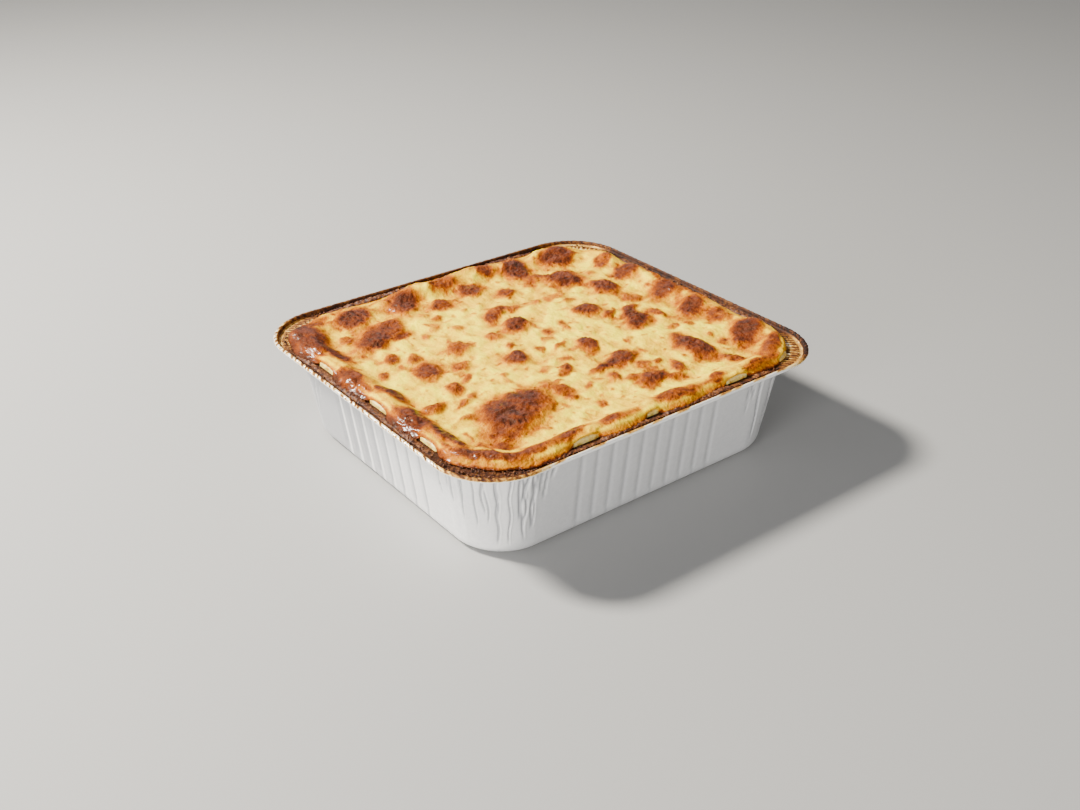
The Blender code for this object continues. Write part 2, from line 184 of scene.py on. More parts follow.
def signedVolume(points, quads, fans):
    # six times the volume inside, as the sum of a . (b x c) over all triangles
    a, b, c, d = (points[quads[:, k]] for k in range(4))
    total = np.einsum("ij,ij->", a, np.cross(b, c)) + np.einsum("ij,ij->", a, np.cross(c, d))
    if len(fans):
        a, b, c = (points[fans[:, k]] for k in range(3))
        total += np.einsum("ij,ij->", a, np.cross(b, c))
    return total


def addPiece(name, points, quads, fans, material, replaced=(), tones=None):
    # points in mm; a closed piece whose faces point inwards is turned outwards
    points = points.reshape(-1, 3)
    if signedVolume(points, quads, fans) < 0.0:
        quads = quads[:, ::-1]
        fans = fans[:, ::-1] if len(fans) else fans
    mesh = bpy.data.meshes.new(name)
    faces = quads.tolist() + (fans.tolist() if len(fans) else [])
    mesh.from_pydata((points * mm).tolist(), [], faces)
    mesh.shade_smooth()
    for toneName, values in (tones or {}).items():
        layer = mesh.attributes.new(toneName, "FLOAT", "POINT")
        layer.data.foreach_set("value", np.asarray(values, np.float32).ravel())
    mesh.materials.append(material)
    item = bpy.data.objects.new(name, mesh)
    bpy.context.scene.collection.objects.link(item)
    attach(item, "root")
    if replaced:
        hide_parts(*replaced)
    print(f"{name}: {len(points)} points, {2 * len(quads) + len(fans)} triangles")
    return item


# The outline that every piece follows


def outline(halfX, halfY, radius, leg, part):
    # A rounded rectangle. Legs 0, 2, 4, 6 are its +X, +Y, -X and -Y sides, walked anticlockwise,
    # and the odd legs are the corners between them; part runs from 0 to 1 along a leg.
    turn = leg // 2
    inCorner = leg % 2 == 1
    outHalf = np.where(turn % 2 == 0, halfX, halfY)
    straight = np.where(turn % 2 == 0, halfY, halfX) - radius
    face = turn * math.pi / 2
    angle = face + np.where(inCorner, part * math.pi / 2, 0.0)
    along = np.where(inCorner, straight, straight * (2.0 * part - 1.0))
    out = outHalf - radius
    x = out * np.cos(face) - along * np.sin(face) + radius * np.cos(angle)
    y = out * np.sin(face) + along * np.cos(face) + radius * np.sin(angle)
    return x, y, np.cos(angle), np.sin(angle)


def insetPoints(inset, height, leg, part):
    # Points of the outline moved in from the rim's outer edge by the inset, at a height; a grid
    # of insets gives a grid of points, with leg and part spread over it.
    radius = rim["corner"] - rim["cornerLoss"] * inset
    x, y, _, _ = outline(rim["halfX"] - inset, rim["halfY"] - inset, radius, leg, part)
    return np.stack([x, y, np.broadcast_to(height, x.shape)], axis=-1)


def ringLayout(sideLong, sideShort, cornerSteps):
    # leg and part for each column, from the middle of the (-X, -Y) corner anticlockwise
    legs, parts = [], []
    for leg in range(8):
        steps = cornerSteps if leg % 2 else (sideLong if leg in (2, 6) else sideShort)
        legs.append(np.full(steps, leg))
        parts.append(np.arange(steps) / steps)
    legs, parts = np.concatenate(legs), np.concatenate(parts)
    start = int(np.argmin(np.abs(legs + parts - 5.5)))
    return np.roll(legs, -start), np.roll(parts, -start)


# Shader helpers


class Tree:
    # a short way to write nodes and links
    def __init__(self, tree):
        self.tree = tree

    def wire(self, node, inputs):
        # links an output to each input, or sets a plain value on the input itself
        for key, value in inputs.items():
            if isinstance(value, bpy.types.NodeSocket):
                self.tree.links.new(value, node.inputs[key])
            else:
                node.inputs[key].default_value = value

    def add(self, kind, inputs=None, **settings):
        node = self.tree.nodes.new(kind)
        for key, value in settings.items():
            setattr(node, key, value)
        self.wire(node, inputs or {})
        return node

    def math(self, operation, a, b=None, clamp=False):
        inputs = {0: a} if b is None else {0: a, 1: b}
        return self.add("ShaderNodeMath", inputs, operation=operation, use_clamp=clamp).outputs[0]

    def mix(self, share, a, b):
        return self.add("ShaderNodeMix", {0: share, 6: a, 7: b}, data_type="RGBA").outputs[2]

    def noise(self, place, scale, detail=3.0, roughness=0.55):
        inputs = {"Vector": place, "Scale": scale, "Detail": detail, "Roughness": roughness}
        return self.add("ShaderNodeTexNoise", inputs).outputs["Fac"]

    def ramp(self, share, stops):
        node = self.add("ShaderNodeValToRGB", {0: share})
        points = node.color_ramp.elements
        while len(points) < len(stops):
            points.new(0.5)
        for point, (place, colour) in zip(points, stops):
            point.position = place
            point.color = (*colour, 1.0)
        return node.outputs["Color"]

    def span(self, value, low, high, newLow=0.0, newHigh=1.0):
        inputs = {0: value, 1: low, 2: high, 3: newLow, 4: newHigh}
        return self.add("ShaderNodeMapRange", inputs, clamp=True).outputs[0]

    def attribute(self, name):
        return self.add("ShaderNodeAttribute", attribute_name=name).outputs["Fac"]

    def place(self):
        return self.add("ShaderNodeTexCoord").outputs["Object"]


def newMaterial(name):
    # a material with its short node writer and its own shader
    material = bpy.data.materials.new(name)
    material.use_nodes = True
    tree = Tree(material.node_tree)
    shader = material.node_tree.nodes["Principled BSDF"]
    return material, tree, shader


def newGroup(name, inputs, outputs):
    # an empty node group with named sockets, its writer and its two end nodes
    group = bpy.data.node_groups.new(name, "ShaderNodeTree")
    for socket, kind, value in inputs:
        made = group.interface.new_socket(socket, in_out="INPUT", socket_type=kind)
        made.default_value = value
    for socket, kind in outputs:
        group.interface.new_socket(socket, in_out="OUTPUT", socket_type=kind)
    tree = Tree(group)
    return group, tree, tree.add("NodeGroupInput"), tree.add("NodeGroupOutput")


def mottleGroup():
    # uneven browning: noise at two sizes, as one mask round 0.5
    group, tree, given, out = newGroup(
        "mottle",
        [("Scale", "NodeSocketFloat", 200.0), ("Contrast", "NodeSocketFloat", 1.0)],
        [("Mask", "NodeSocketFloat")])
    place = tree.place()
    broad = tree.noise(place, given.outputs["Scale"], 4.0, 0.6)
    fineScale = tree.math("MULTIPLY", given.outputs["Scale"], 4.3)
    fine = tree.noise(place, fineScale, 3.0, 0.6)
    mask = tree.math("ADD", tree.math("MULTIPLY", broad, 0.65), tree.math("MULTIPLY", fine, 0.35))
    spread = tree.math("MULTIPLY", tree.math("SUBTRACT", mask, 0.5), given.outputs["Contrast"])
    tree.wire(out, {"Mask": tree.math("ADD", spread, 0.5)})
    return group


def grainGroup():
    # fine bumps: noise at two sizes, mixed by the coarse share
    group, tree, given, out = newGroup(
        "fineGrain",
        [("Scale", "NodeSocketFloat", 700.0), ("Coarse", "NodeSocketFloat", 0.5)],
        [("Height", "NodeSocketFloat")])
    place = tree.place()
    fine = tree.noise(place, given.outputs["Scale"], 3.0, 0.6)
    coarse = tree.noise(place, tree.math("MULTIPLY", given.outputs["Scale"], 0.28), 2.0, 0.5)
    height = tree.add("ShaderNodeMix", {0: given.outputs["Coarse"], 2: fine, 3: coarse})
    tree.wire(out, {"Height": height.outputs[0]})
    return group


groups = {"mottle": mottleGroup(), "fineGrain": grainGroup()}


def placeGroup(tree, groupName, **values):
    # a shared group placed in a material with its own values
    return tree.add("ShaderNodeGroup", values, node_tree=groups[groupName])


def unevenTone(tree, tone, scale, contrast, amount):
    # a tone from 0 to 1, raised or lowered by the mottle mask times the amount
    mottle = placeGroup(tree, "mottle", Scale=scale, Contrast=contrast)
    unevenness = tree.math("SUBTRACT", mottle.outputs["Mask"], 0.5)
    return tree.math("ADD", tone, tree.math("MULTIPLY", unevenness, amount), clamp=True)


def grainBump(tree, scale, coarse, distance, strength):
    # the normal of the fine grain; the distance is in m
    grain = placeGroup(tree, "fineGrain", Scale=scale, Coarse=coarse)
    inputs = {"Height": grain.outputs["Height"], "Distance": distance, "Strength": strength}
    return tree.add("ShaderNodeBump", inputs).outputs["Normal"]


# Materials

cheeseColours = [
    (0.00, (0.98, 0.77, 0.002)), (0.10, (0.92, 0.60, 0.0)), (0.20, (0.76, 0.43, 0.0)),
    (0.30, (0.60, 0.26, 0.0)), (0.42, (0.44, 0.135, 0.0)), (0.56, (0.29, 0.064, 0.001)),
    (0.70, (0.170, 0.032, 0.002)), (0.85, (0.105, 0.019, 0.004)), (1.00, (0.050, 0.011, 0.004)),
]


def cheeseMaterial():
    # the toast, with painted shade and light added on the crust, picks the colour; oil yellows the pale
    # cheese, and browned places get a glossy coat
    material, tree, shader = newMaterial("bakedCheese")
    toastAndShade = tree.attribute("toastAndShade")
    tone = unevenTone(tree, toastAndShade, 230.0, 2.0, tree.span(toastAndShade, 0.05, 0.6, 0.26, 0.36))
    colour = tree.ramp(tone, cheeseColours)
    oil = tree.math("MULTIPLY", tree.attribute("oil"), 0.55)
    colour = tree.mix(oil, colour, (0.84, 0.49, 0.0, 1.0))
    strength = tree.span(toastAndShade, 0.1, 0.6, 0.42, 1.0)
    tree.wire(shader, {
        "Base Color": colour, "Roughness": tree.span(tone, 0.1, 0.8, 0.30, 0.40),
        "Specular IOR Level": 0.10, "Specular Tint": (1.0, 0.80, 0.40, 1.0),
        "Coat Weight": tree.span(toastAndShade, 0.40, 0.75, 0.0, 0.46), "Coat Roughness": 0.22,
        "Normal": grainBump(tree, 620.0, 0.5, 0.0026, strength)})
    return material


def pastaMaterial():
    # a creamy colour that follows the mottle mask
    material, tree, shader = newMaterial("creamyPasta")
    mottle = placeGroup(tree, "mottle", Scale=320.0, Contrast=2.4)
    colour = tree.ramp(mottle.outputs["Mask"], [
        (0.15, (0.46, 0.21, 0.02)), (0.38, (0.80, 0.54, 0.10)), (0.60, (0.90, 0.70, 0.20)),
        (0.85, (0.95, 0.82, 0.34))])
    tree.wire(shader, {
        "Base Color": colour, "Roughness": 0.34, "Subsurface Weight": 0.2,
        "Subsurface Radius": (1.0, 0.7, 0.4), "Subsurface Scale": 0.002,
        "Normal": grainBump(tree, 420.0, 0.6, 0.0005, 0.35)})
    return material


# dull foil at 0 is painted shade and bright foil at 0.05 a painted highlight; golden, brown and black are
# burn
foilSheenAndBurnColours = [
    (0.00, (0.48, 0.48, 0.49)), (0.05, (0.95, 0.94, 0.92)), (0.15, (0.84, 0.62, 0.24)),
    (0.30, (0.52, 0.27, 0.05)), (0.50, (0.21, 0.080, 0.014)), (0.75, (0.065, 0.020, 0.008)),
    (1.00, (0.014, 0.007, 0.005)),
]


def foilMaterial():
    # the tone runs from dull foil at 0, painted shade, over bright foil at 0.05, a painted highlight, to
    # golden, brown and black burn
    material, tree, shader = newMaterial("trayFoil")
    burn = tree.attribute("burn")
    tone = unevenTone(tree, burn, 520.0, 1.3, tree.span(burn, 0.04, 0.3, 0.02, 0.9))
    colour = tree.ramp(tone, foilSheenAndBurnColours)
    strength = tree.span(burn, 0.04, 0.4, 0.08, 0.9)
    tree.wire(shader, {
        "Base Color": colour, "Metallic": tree.span(tone, 0.05, 0.4, 0.45, 0.0),
        "Roughness": tree.span(tone, 0.05, 0.5, 0.32, 0.62), "Specular IOR Level": 0.14,
        "Normal": grainBump(tree, 900.0, 0.5, 0.0005, strength)})
    return material


def sauceMaterial():
    # nearly black to brown, by the mottle mask
    material, tree, shader = newMaterial("burntSauce")
    mottle = placeGroup(tree, "mottle", Scale=620.0, Contrast=2.2)
    colour = tree.ramp(mottle.outputs["Mask"], [
        (0.15, (0.010, 0.005, 0.004)), (0.42, (0.050, 0.015, 0.007)), (0.65, (0.16, 0.050, 0.012)),
        (0.90, (0.42, 0.20, 0.06))])
    tree.wire(shader, {
        "Base Color": colour, "Roughness": 0.58, "Specular IOR Level": 0.3,
        "Normal": grainBump(tree, 700.0, 0.5, 0.0006, 0.9)})
    return material


# The cheese crust

crust = {
    "sideLong": 176, "sideShort": 146, "cornerSteps": 56,   # squares round the edge
    "crestInset": 11.5, "slopeEnd": 23.0, "crestTop": 50.2, "crestLeast": 48.4, "onCrest": 1.6,
    "fillingFace": 9.0, "fillingTop": 43.3, "middle": 46.6, "gap": 0.35, "reliefOnCrest": 0.5,
    "skirtInset": 7.4, "skirtLeast": 4.7, "faceBehindSkirt": 1.5, "shoulderDrop": 0.8,
    "archLip": 1.3, "spill": 1.7, "slopeRows": 17, "skirtRows": 20, "footRows": 4,
    "reliefOnSkirt": 0.30, "footShare": 0.25, "tuck": 0.25, "leastInset": 3.2, "beforeGap": 0.3,
    "ceiling": 51.8, "ceilingBend": 0.8,
}
crust["foot"] = rim["ledge"] + 0.2

# Lumps of the raised edge: x, y, length, rise above crestTop, outward bulge
edgeLumps = [
    (87, -56, 14, 1.5, 0.3), (87, -33, 12, -1.4, 0.2), (87, -12, 11, 0.4, 0.5),
    (87, 9, 11, 0.5, 0.7), (87, 28, 10, 0.5, 0.4), (87, 43, 9, -1.9, 0.1),
    (87, 55, 9, 0.4, 0.5), (82, 68, 14, -1.9, -0.3), (70, 78, 11, 0.3, 0.4),
    (51, 79, 12, -1.9, 0.1), (38, 79, 9, -0.5, 0.5), (15, 79, 17, 1.9, 1.3),
    (-14, 79, 16, 1.6, 1.4), (-38, 79, 18, -2.8, 0.1), (-57, 79, 12, -1.2, 0.3),
    (-71, 77, 13, -2.2, -0.3), (-84, 65, 13, 2.8, 2.2), (-88, 50, 15, 1.6, 2.3),
    (-88, 15, 15, 1.2, 2.4), (-88, -25, 15, 1.4, 2.4), (-87, -58, 12, 1.0, 0.3),
    (-81, -71, 24, 0.8, -1.6), (-56, -79, 19, 1.2, 2.0), (-21, -79, 20, 1.2, 2.4),
    (11, -79, 19, 1.2, 2.6), (58, -79, 18, 1.0, -0.3), (80, -71, 16, 0.8, 0.2),
]

# Arched gaps in the crust's skirt: x, y, half width, height of the top
arches = [
    (-88, 32, 6.6, 49.9), (-88, -9, 6.8, 49.9), (-87, -45, 6.0, 49.9), (-39, -79, 6.6, 49.9),
    (-5, -79, 3.6, 49.6), (42, -79, 6.6, 49.9), (72, -75, 5.0, 49.2), (88, -2, 5.0, 49.2),
    (88, 20, 5.0, 49.2), (62, 79, 5.0, 48.9), (0, 79, 4.5, 48.7),
]

# Browned blisters: x, y, length, width, turn in degrees, toast from 0 to 1, rise
blisters = [
    # back slope and crest
    (-56, 71, 20, 17, 30, 1.00, 1.2), (-28, 71, 24, 15, 55, 1.00, 1.2), (-2, 77, 18, 11, 0, 0.62, 0.5),
    (24, 78, 12, 12, 0, 0.72, 0.4), (40, 71, 24, 16, 60, 1.00, 1.3), (67, 71, 24, 18, 25, 0.95, 1.1),
    (-73, 76, 16, 8, 30, 0.45, 0.2), (8, 66, 14, 13, 0, 0.95, 1.1), (-14, 61, 15, 10, 30, 0.75, 0.9),
    # left back
    (-55, 49, 39, 17, 30, 0.88, 1.4), (-61, 44, 14, 9, 40, 0.80, 0.4), (-47, 43, 10, 4, 20, 0.75, 0.3),
    (-69, 55, 8, 9, 0, 0.50, 0.5), (-85, 61, 34, 17, 80, 0.85, 0.8), (-82, 42, 24, 9, 100, 0.85, 0.5),
    (-24, 48, 8, 7, 0, 0.45, 0.5), (-38, 35, 6, 5, 30, 0.38, 0.3), (-21, 35, 8, 7, 0, 0.34, 0.4),
    (-30, 41, 7, 5, 20, 0.24, 0.2), (-8, 48, 5, 4, 40, 0.28, 0.2), (-27, 55, 8, 6, 10, 0.26, 0.3),
    # middle back
    (21, 53, 11, 9, 10, 0.75, 0.9), (-3, 33, 10, 7, 60, 0.72, 0.6), (3, 38, 14, 8, 20, 0.72, 0.8),
    (12, 37, 10, 5, -30, 0.48, 0.4), (2, 20, 17, 13, 40, 1.00, 1.3), (27, 36, 6, 4, 40, 0.36, 0.3),
    (39, 35, 12, 7, 10, 0.32, 0.3), (41, 28, 6, 5, 0, 0.28, 0.2), (35, 54, 6, 7, 0, 0.22, 0.2),
    (53, 50, 23, 16, -20, 0.85, 1.3), (42, 58, 12, 8, 10, 0.48, 0.5), (54, 43, 17, 9, 0, 0.85, 0.6),
    (64, 29, 18, 14, 110, 0.95, 1.2), (68, 12, 10, 8, 90, 0.48, 0.5), (70, 47, 6, 6, 0, 0.32, 0.3),
    # right side
    (82, 52, 16, 10, 40, 0.60, 0.6), (83, 35, 18, 14, 35, 0.92, 1.0), (83, 5, 17, 13, 35, 0.88, 1.0),
    (80, -17, 18, 14, 40, 0.95, 1.0), (83, -31, 14, 12, 20, 0.72, 0.5), (80, -53, 26, 15, 30, 1.00, 1.2),
    (78, -71, 26, 7, 30, 0.72, 0.4), (90, 20, 20, 5, 90, 0.50, 0.2), (90, -8, 24, 5, 90, 0.48, 0.2),
    # middle
    (39, 13, 16, 14, -30, 0.92, 1.2), (45, 3, 8, 5, 30, 0.70, 0.5), (56, 1, 14, 7, 40, 0.78, 0.8),
    (51, -11, 20, 12, 35, 0.98, 1.2), (53, -6, 12, 9, 60, 0.80, 0.4), (65, -10, 12, 6, 100, 0.66, 0.6),
    (20, 6, 11, 5, 80, 0.46, 0.4), (10, 6, 8, 6, 45, 0.52, 0.4), (5, -1, 8, 5, 20, 0.36, 0.2),
    (16, -16, 14, 10, 75, 0.95, 1.2), (5, -10, 13, 4, 25, 0.44, 0.3), (-4, -6, 6, 4, 30, 0.44, 0.3),
    (-18, -7, 14, 12, 70, 0.95, 1.2), (-13, 4, 7, 5, 30, 0.60, 0.4), (-13, 17, 8, 9, 0, 0.52, 0.6),
    (-33, 17, 14, 11, 20, 0.60, 0.9), (-41, 3, 9, 7, 30, 0.44, 0.5), (-57, 6, 18, 13, 60, 0.90, 1.2),
    (-55, 20, 9, 6, 50, 0.54, 0.5), (-64, 25, 12, 8, 45, 0.66, 0.8), (-74, 14, 10, 5, 70, 0.54, 0.4),
    # left side
    (-89, 16, 20, 10, 85, 0.76, 0.5), (-82, -4, 18, 9, 105, 0.82, 0.8), (-87, -31, 20, 13, 80, 0.86, 0.6),
    (-83, -48, 30, 8, 88, 0.88, 0.6), (-56, -14, 13, 8, 55, 0.68, 0.8), (-46, -9, 9, 4, 30, 0.44, 0.3),
    (-73, -23, 11, 7, 10, 0.68, 0.8), (-60, -27, 9, 4, 20, 0.48, 0.3), (-53, -23, 6, 5, 40, 0.42, 0.3),
    (-66, -38, 9, 4, 15, 0.38, 0.3), (-75, -61, 6, 7, 0, 0.54, 0.4), (-69, -66, 9, 8, 20, 0.68, 0.6),
    # big wrinkled patch
    (-46, -46, 38, 25, 20, 0.80, 1.9), (-57, -54, 24, 18, 40, 0.70, 0.8),
    (-52, -40, 20, 15, 30, 0.66, 0.6), (-38, -39, 18, 14, 0, 0.66, 0.6),
    # front half
    (21, -36, 16, 10, 20, 0.98, 1.2), (11, -36, 14, 7, 10, 0.82, 0.6), (4, -38, 9, 4, 10, 0.50, 0.3),
    (21, -31, 12, 5, 20, 0.70, 0.4), (53, -48, 26, 14, 95, 1.00, 1.5), (53, -36, 8, 6, 60, 0.62, 0.3),
    (58, -67, 12, 9, 100, 0.78, 0.8), (34, -57, 15, 7, 65, 0.72, 0.7), (18, -58, 17, 10, 10, 0.84, 1.1),
    (26, -63, 9, 6, -40, 0.62, 0.4), (12, -64, 8, 6, 30, 0.48, 0.3), (5, -47, 9, 7, 60, 0.58, 0.5),
    (11, -52, 11, 5, 10, 0.40, 0.3), (23, -46, 10, 7, 10, 0.52, 0.6), (23, -51, 10, 4, 0, 0.34, 0.2),
    (30, -48, 5, 4, 40, 0.52, 0.3), (67, -43, 5, 4, 0, 0.44, 0.3), (66, -52, 5, 4, 60, 0.42, 0.3),
    (61, -25, 7, 5, 30, 0.36, 0.3), (68, -28, 5, 5, 0, 0.36, 0.3), (35, -23, 6, 4, 0, 0.24, 0.2),
    (46, -57, 7, 4, 20, 0.30, 0.2), (-6, -27, 8, 5, 40, 0.62, 0.5), (-10, -31, 10, 4, 15, 0.46, 0.3),
    (-20, -43, 10, 8, 120, 0.62, 0.6), (-24, -37, 8, 5, 0, 0.34, 0.3), (-21, -51, 5, 6, 60, 0.52, 0.4),
    (-17, -36, 5, 4, 0, 0.44, 0.2), (-9, -47, 6, 3, 40, 0.36, 0.2), (-14, -62, 4, 6, 0, 0.54, 0.3),
    (-1, -20, 6, 5, 0, 0.32, 0.2), (-14, -23, 6, 5, 0, 0.24, 0.2), (-32, -17, 5, 4, 0, 0.28, 0.2),
    # front crest
    (8, -78, 17, 6, 0, 0.68, 0.3), (12, -82, 20, 5, 0, 0.62, 0.0), (35, -79, 12, 6, 35, 0.72, 0.2),
    (58, -81, 20, 5, 5, 0.58, 0.1), (-44, -77, 18, 7, 15, 0.78, 0.5), (-24, -79, 12, 6, 0, 0.74, 0.3),
    (-80, -71, 34, 7, -45, 0.90, 0.3), (-62, -79, 22, 6, 0, 0.74, 0.2),
]


def edgeValues(legs, parts):
    # Per place on the crest line: the crest's height, the skirt's inset, the skirt's foot and
    # how near an arched gap it is. Each lump is a bell of its length, each gap half an ellipse.
    line = insetPoints(crust["crestInset"], 0.0, legs, parts)
    x, y = line[:, 0], line[:, 1]
    crest = np.full(x.shape, crust["crestTop"])
    skirt = np.full(x.shape, crust["skirtInset"])
    foot = np.full(x.shape, crust["foot"])
    gap = np.zeros(x.shape)
    for cx, cy, length, rise, bulge in edgeLumps:
        lump = np.exp(-(np.hypot(x - cx, y - cy) / (0.5 * length)) ** 2)
        crest = crest + rise * lump
        skirt = skirt - bulge * lump
    crest = np.maximum(crest, crust["crestLeast"])
    skirt = np.maximum(skirt, crust["skirtLeast"])
    for cx, cy, halfWidth, top in arches:
        away = np.hypot(x - cx, y - cy) / halfWidth
        arch = np.sqrt(np.clip(1.0 - away ** 2, 0.0, 1.0))
        foot = np.maximum(foot, crust["foot"] + (top - crust["foot"]) * arch)
        near = np.clip(2.8 - 2.0 * away, 0.0, 1.0)
        lifted = crest + (top + crust["archLip"] - crest) * near
        crest = np.maximum(crest, lifted)
        skirt = skirt + (crust["skirtInset"] + crust["beforeGap"] - skirt) * near
        gap = np.maximum(gap, near)
    return crest, skirt, foot, gap


def fillingFace(crest, skirt):
    # inset of the filling's upright face behind the skirt, and the height of the face's top
    shoulder = crest - crust["onCrest"] - crust["shoulderDrop"]
    shoulder = np.maximum(shoulder, rim["ledge"] + 0.5)
    return np.maximum(crust["fillingFace"], skirt + crust["faceBehindSkirt"]), shoulder


def slopeShare(inset):
    # 1 on the crest, 0 where the inner slope ends, by half a cosine wave
    share = np.clip((inset - crust["crestInset"]) / (crust["slopeEnd"] - crust["crestInset"]), 0, 1)
    return 0.5 + 0.5 * np.cos(math.pi * share)


def browning(x, y):
    # Toast and dome height from the blisters, each an ellipse whose outline is bent by noise;
    # the toasts join as shares left unbrowned are multiplied, the domes as the highest.
    bentX = x + 1.5 * softNoise(x, y, 7.0, 3) + 0.28 * softNoise(x, y, 2.6, 5)
    bentY = y + 1.5 * softNoise(x, y, 7.0, 11) + 0.28 * softNoise(x, y, 2.6, 17)
    plain = np.ones(x.shape)
    dome = np.zeros(x.shape)
    for cx, cy, length, width, degrees, tone, rise in blisters:
        angle = math.radians(degrees)
        dx, dy = bentX - cx, bentY - cy
        u = (dx * math.cos(angle) + dy * math.sin(angle)) / (0.5 * length)
        v = (dy * math.cos(angle) - dx * math.sin(angle)) / (0.5 * width)
        away = np.hypot(u, v)
        plain *= 1.0 - 0.80 * tone * smooth(1.10, 0.56, away)
        plain *= 1.0 - (0.12 + 0.14 * tone) * smooth(1.70, 0.9, away)
        dome = np.maximum(dome, 1.4 * rise * np.clip(1.0 - (0.92 * away) ** 2, 0.0, 1.0) ** 0.8)
    return 1.0 - plain, dome


def surfaceWaves(x, y):
    # soft waves of the melted surface: two slow sine waves plus soft noise at two sizes
    waves = 0.45 * np.sin(x / 17.0 + 0.6) * np.cos(y / 14.0 - 0.4)
    waves += 0.25 * np.sin((x + 1.7 * y) / 11.0 + 1.9)
    waves += 0.75 * softNoise(x, y, 9.0, 23) + 0.55 * softNoise(x, y, 5.0, 29)
    return waves


def middleGrid(ring, columns, rows):
    # A grid whose border is the given ring, each side blended towards its opposite.
    low = ring[:columns + 1]
    right = ring[columns:columns + rows + 1]
    high = ring[columns + rows:2 * columns + rows + 1][::-1]
    left = np.concatenate([ring[2 * columns + rows:], ring[:1]])[::-1]
    u = (np.arange(columns + 1) / columns)[None, :, None]
    v = (np.arange(rows + 1) / rows)[:, None, None]
    blend = (1 - v) * low[None] + v * high[None] + (1 - u) * left[:, None] + u * right[:, None]
    blend -= (1 - u) * (1 - v) * low[0] + u * (1 - v) * low[-1]
    blend -= (1 - u) * v * high[0] + u * v * high[-1]
    return blend


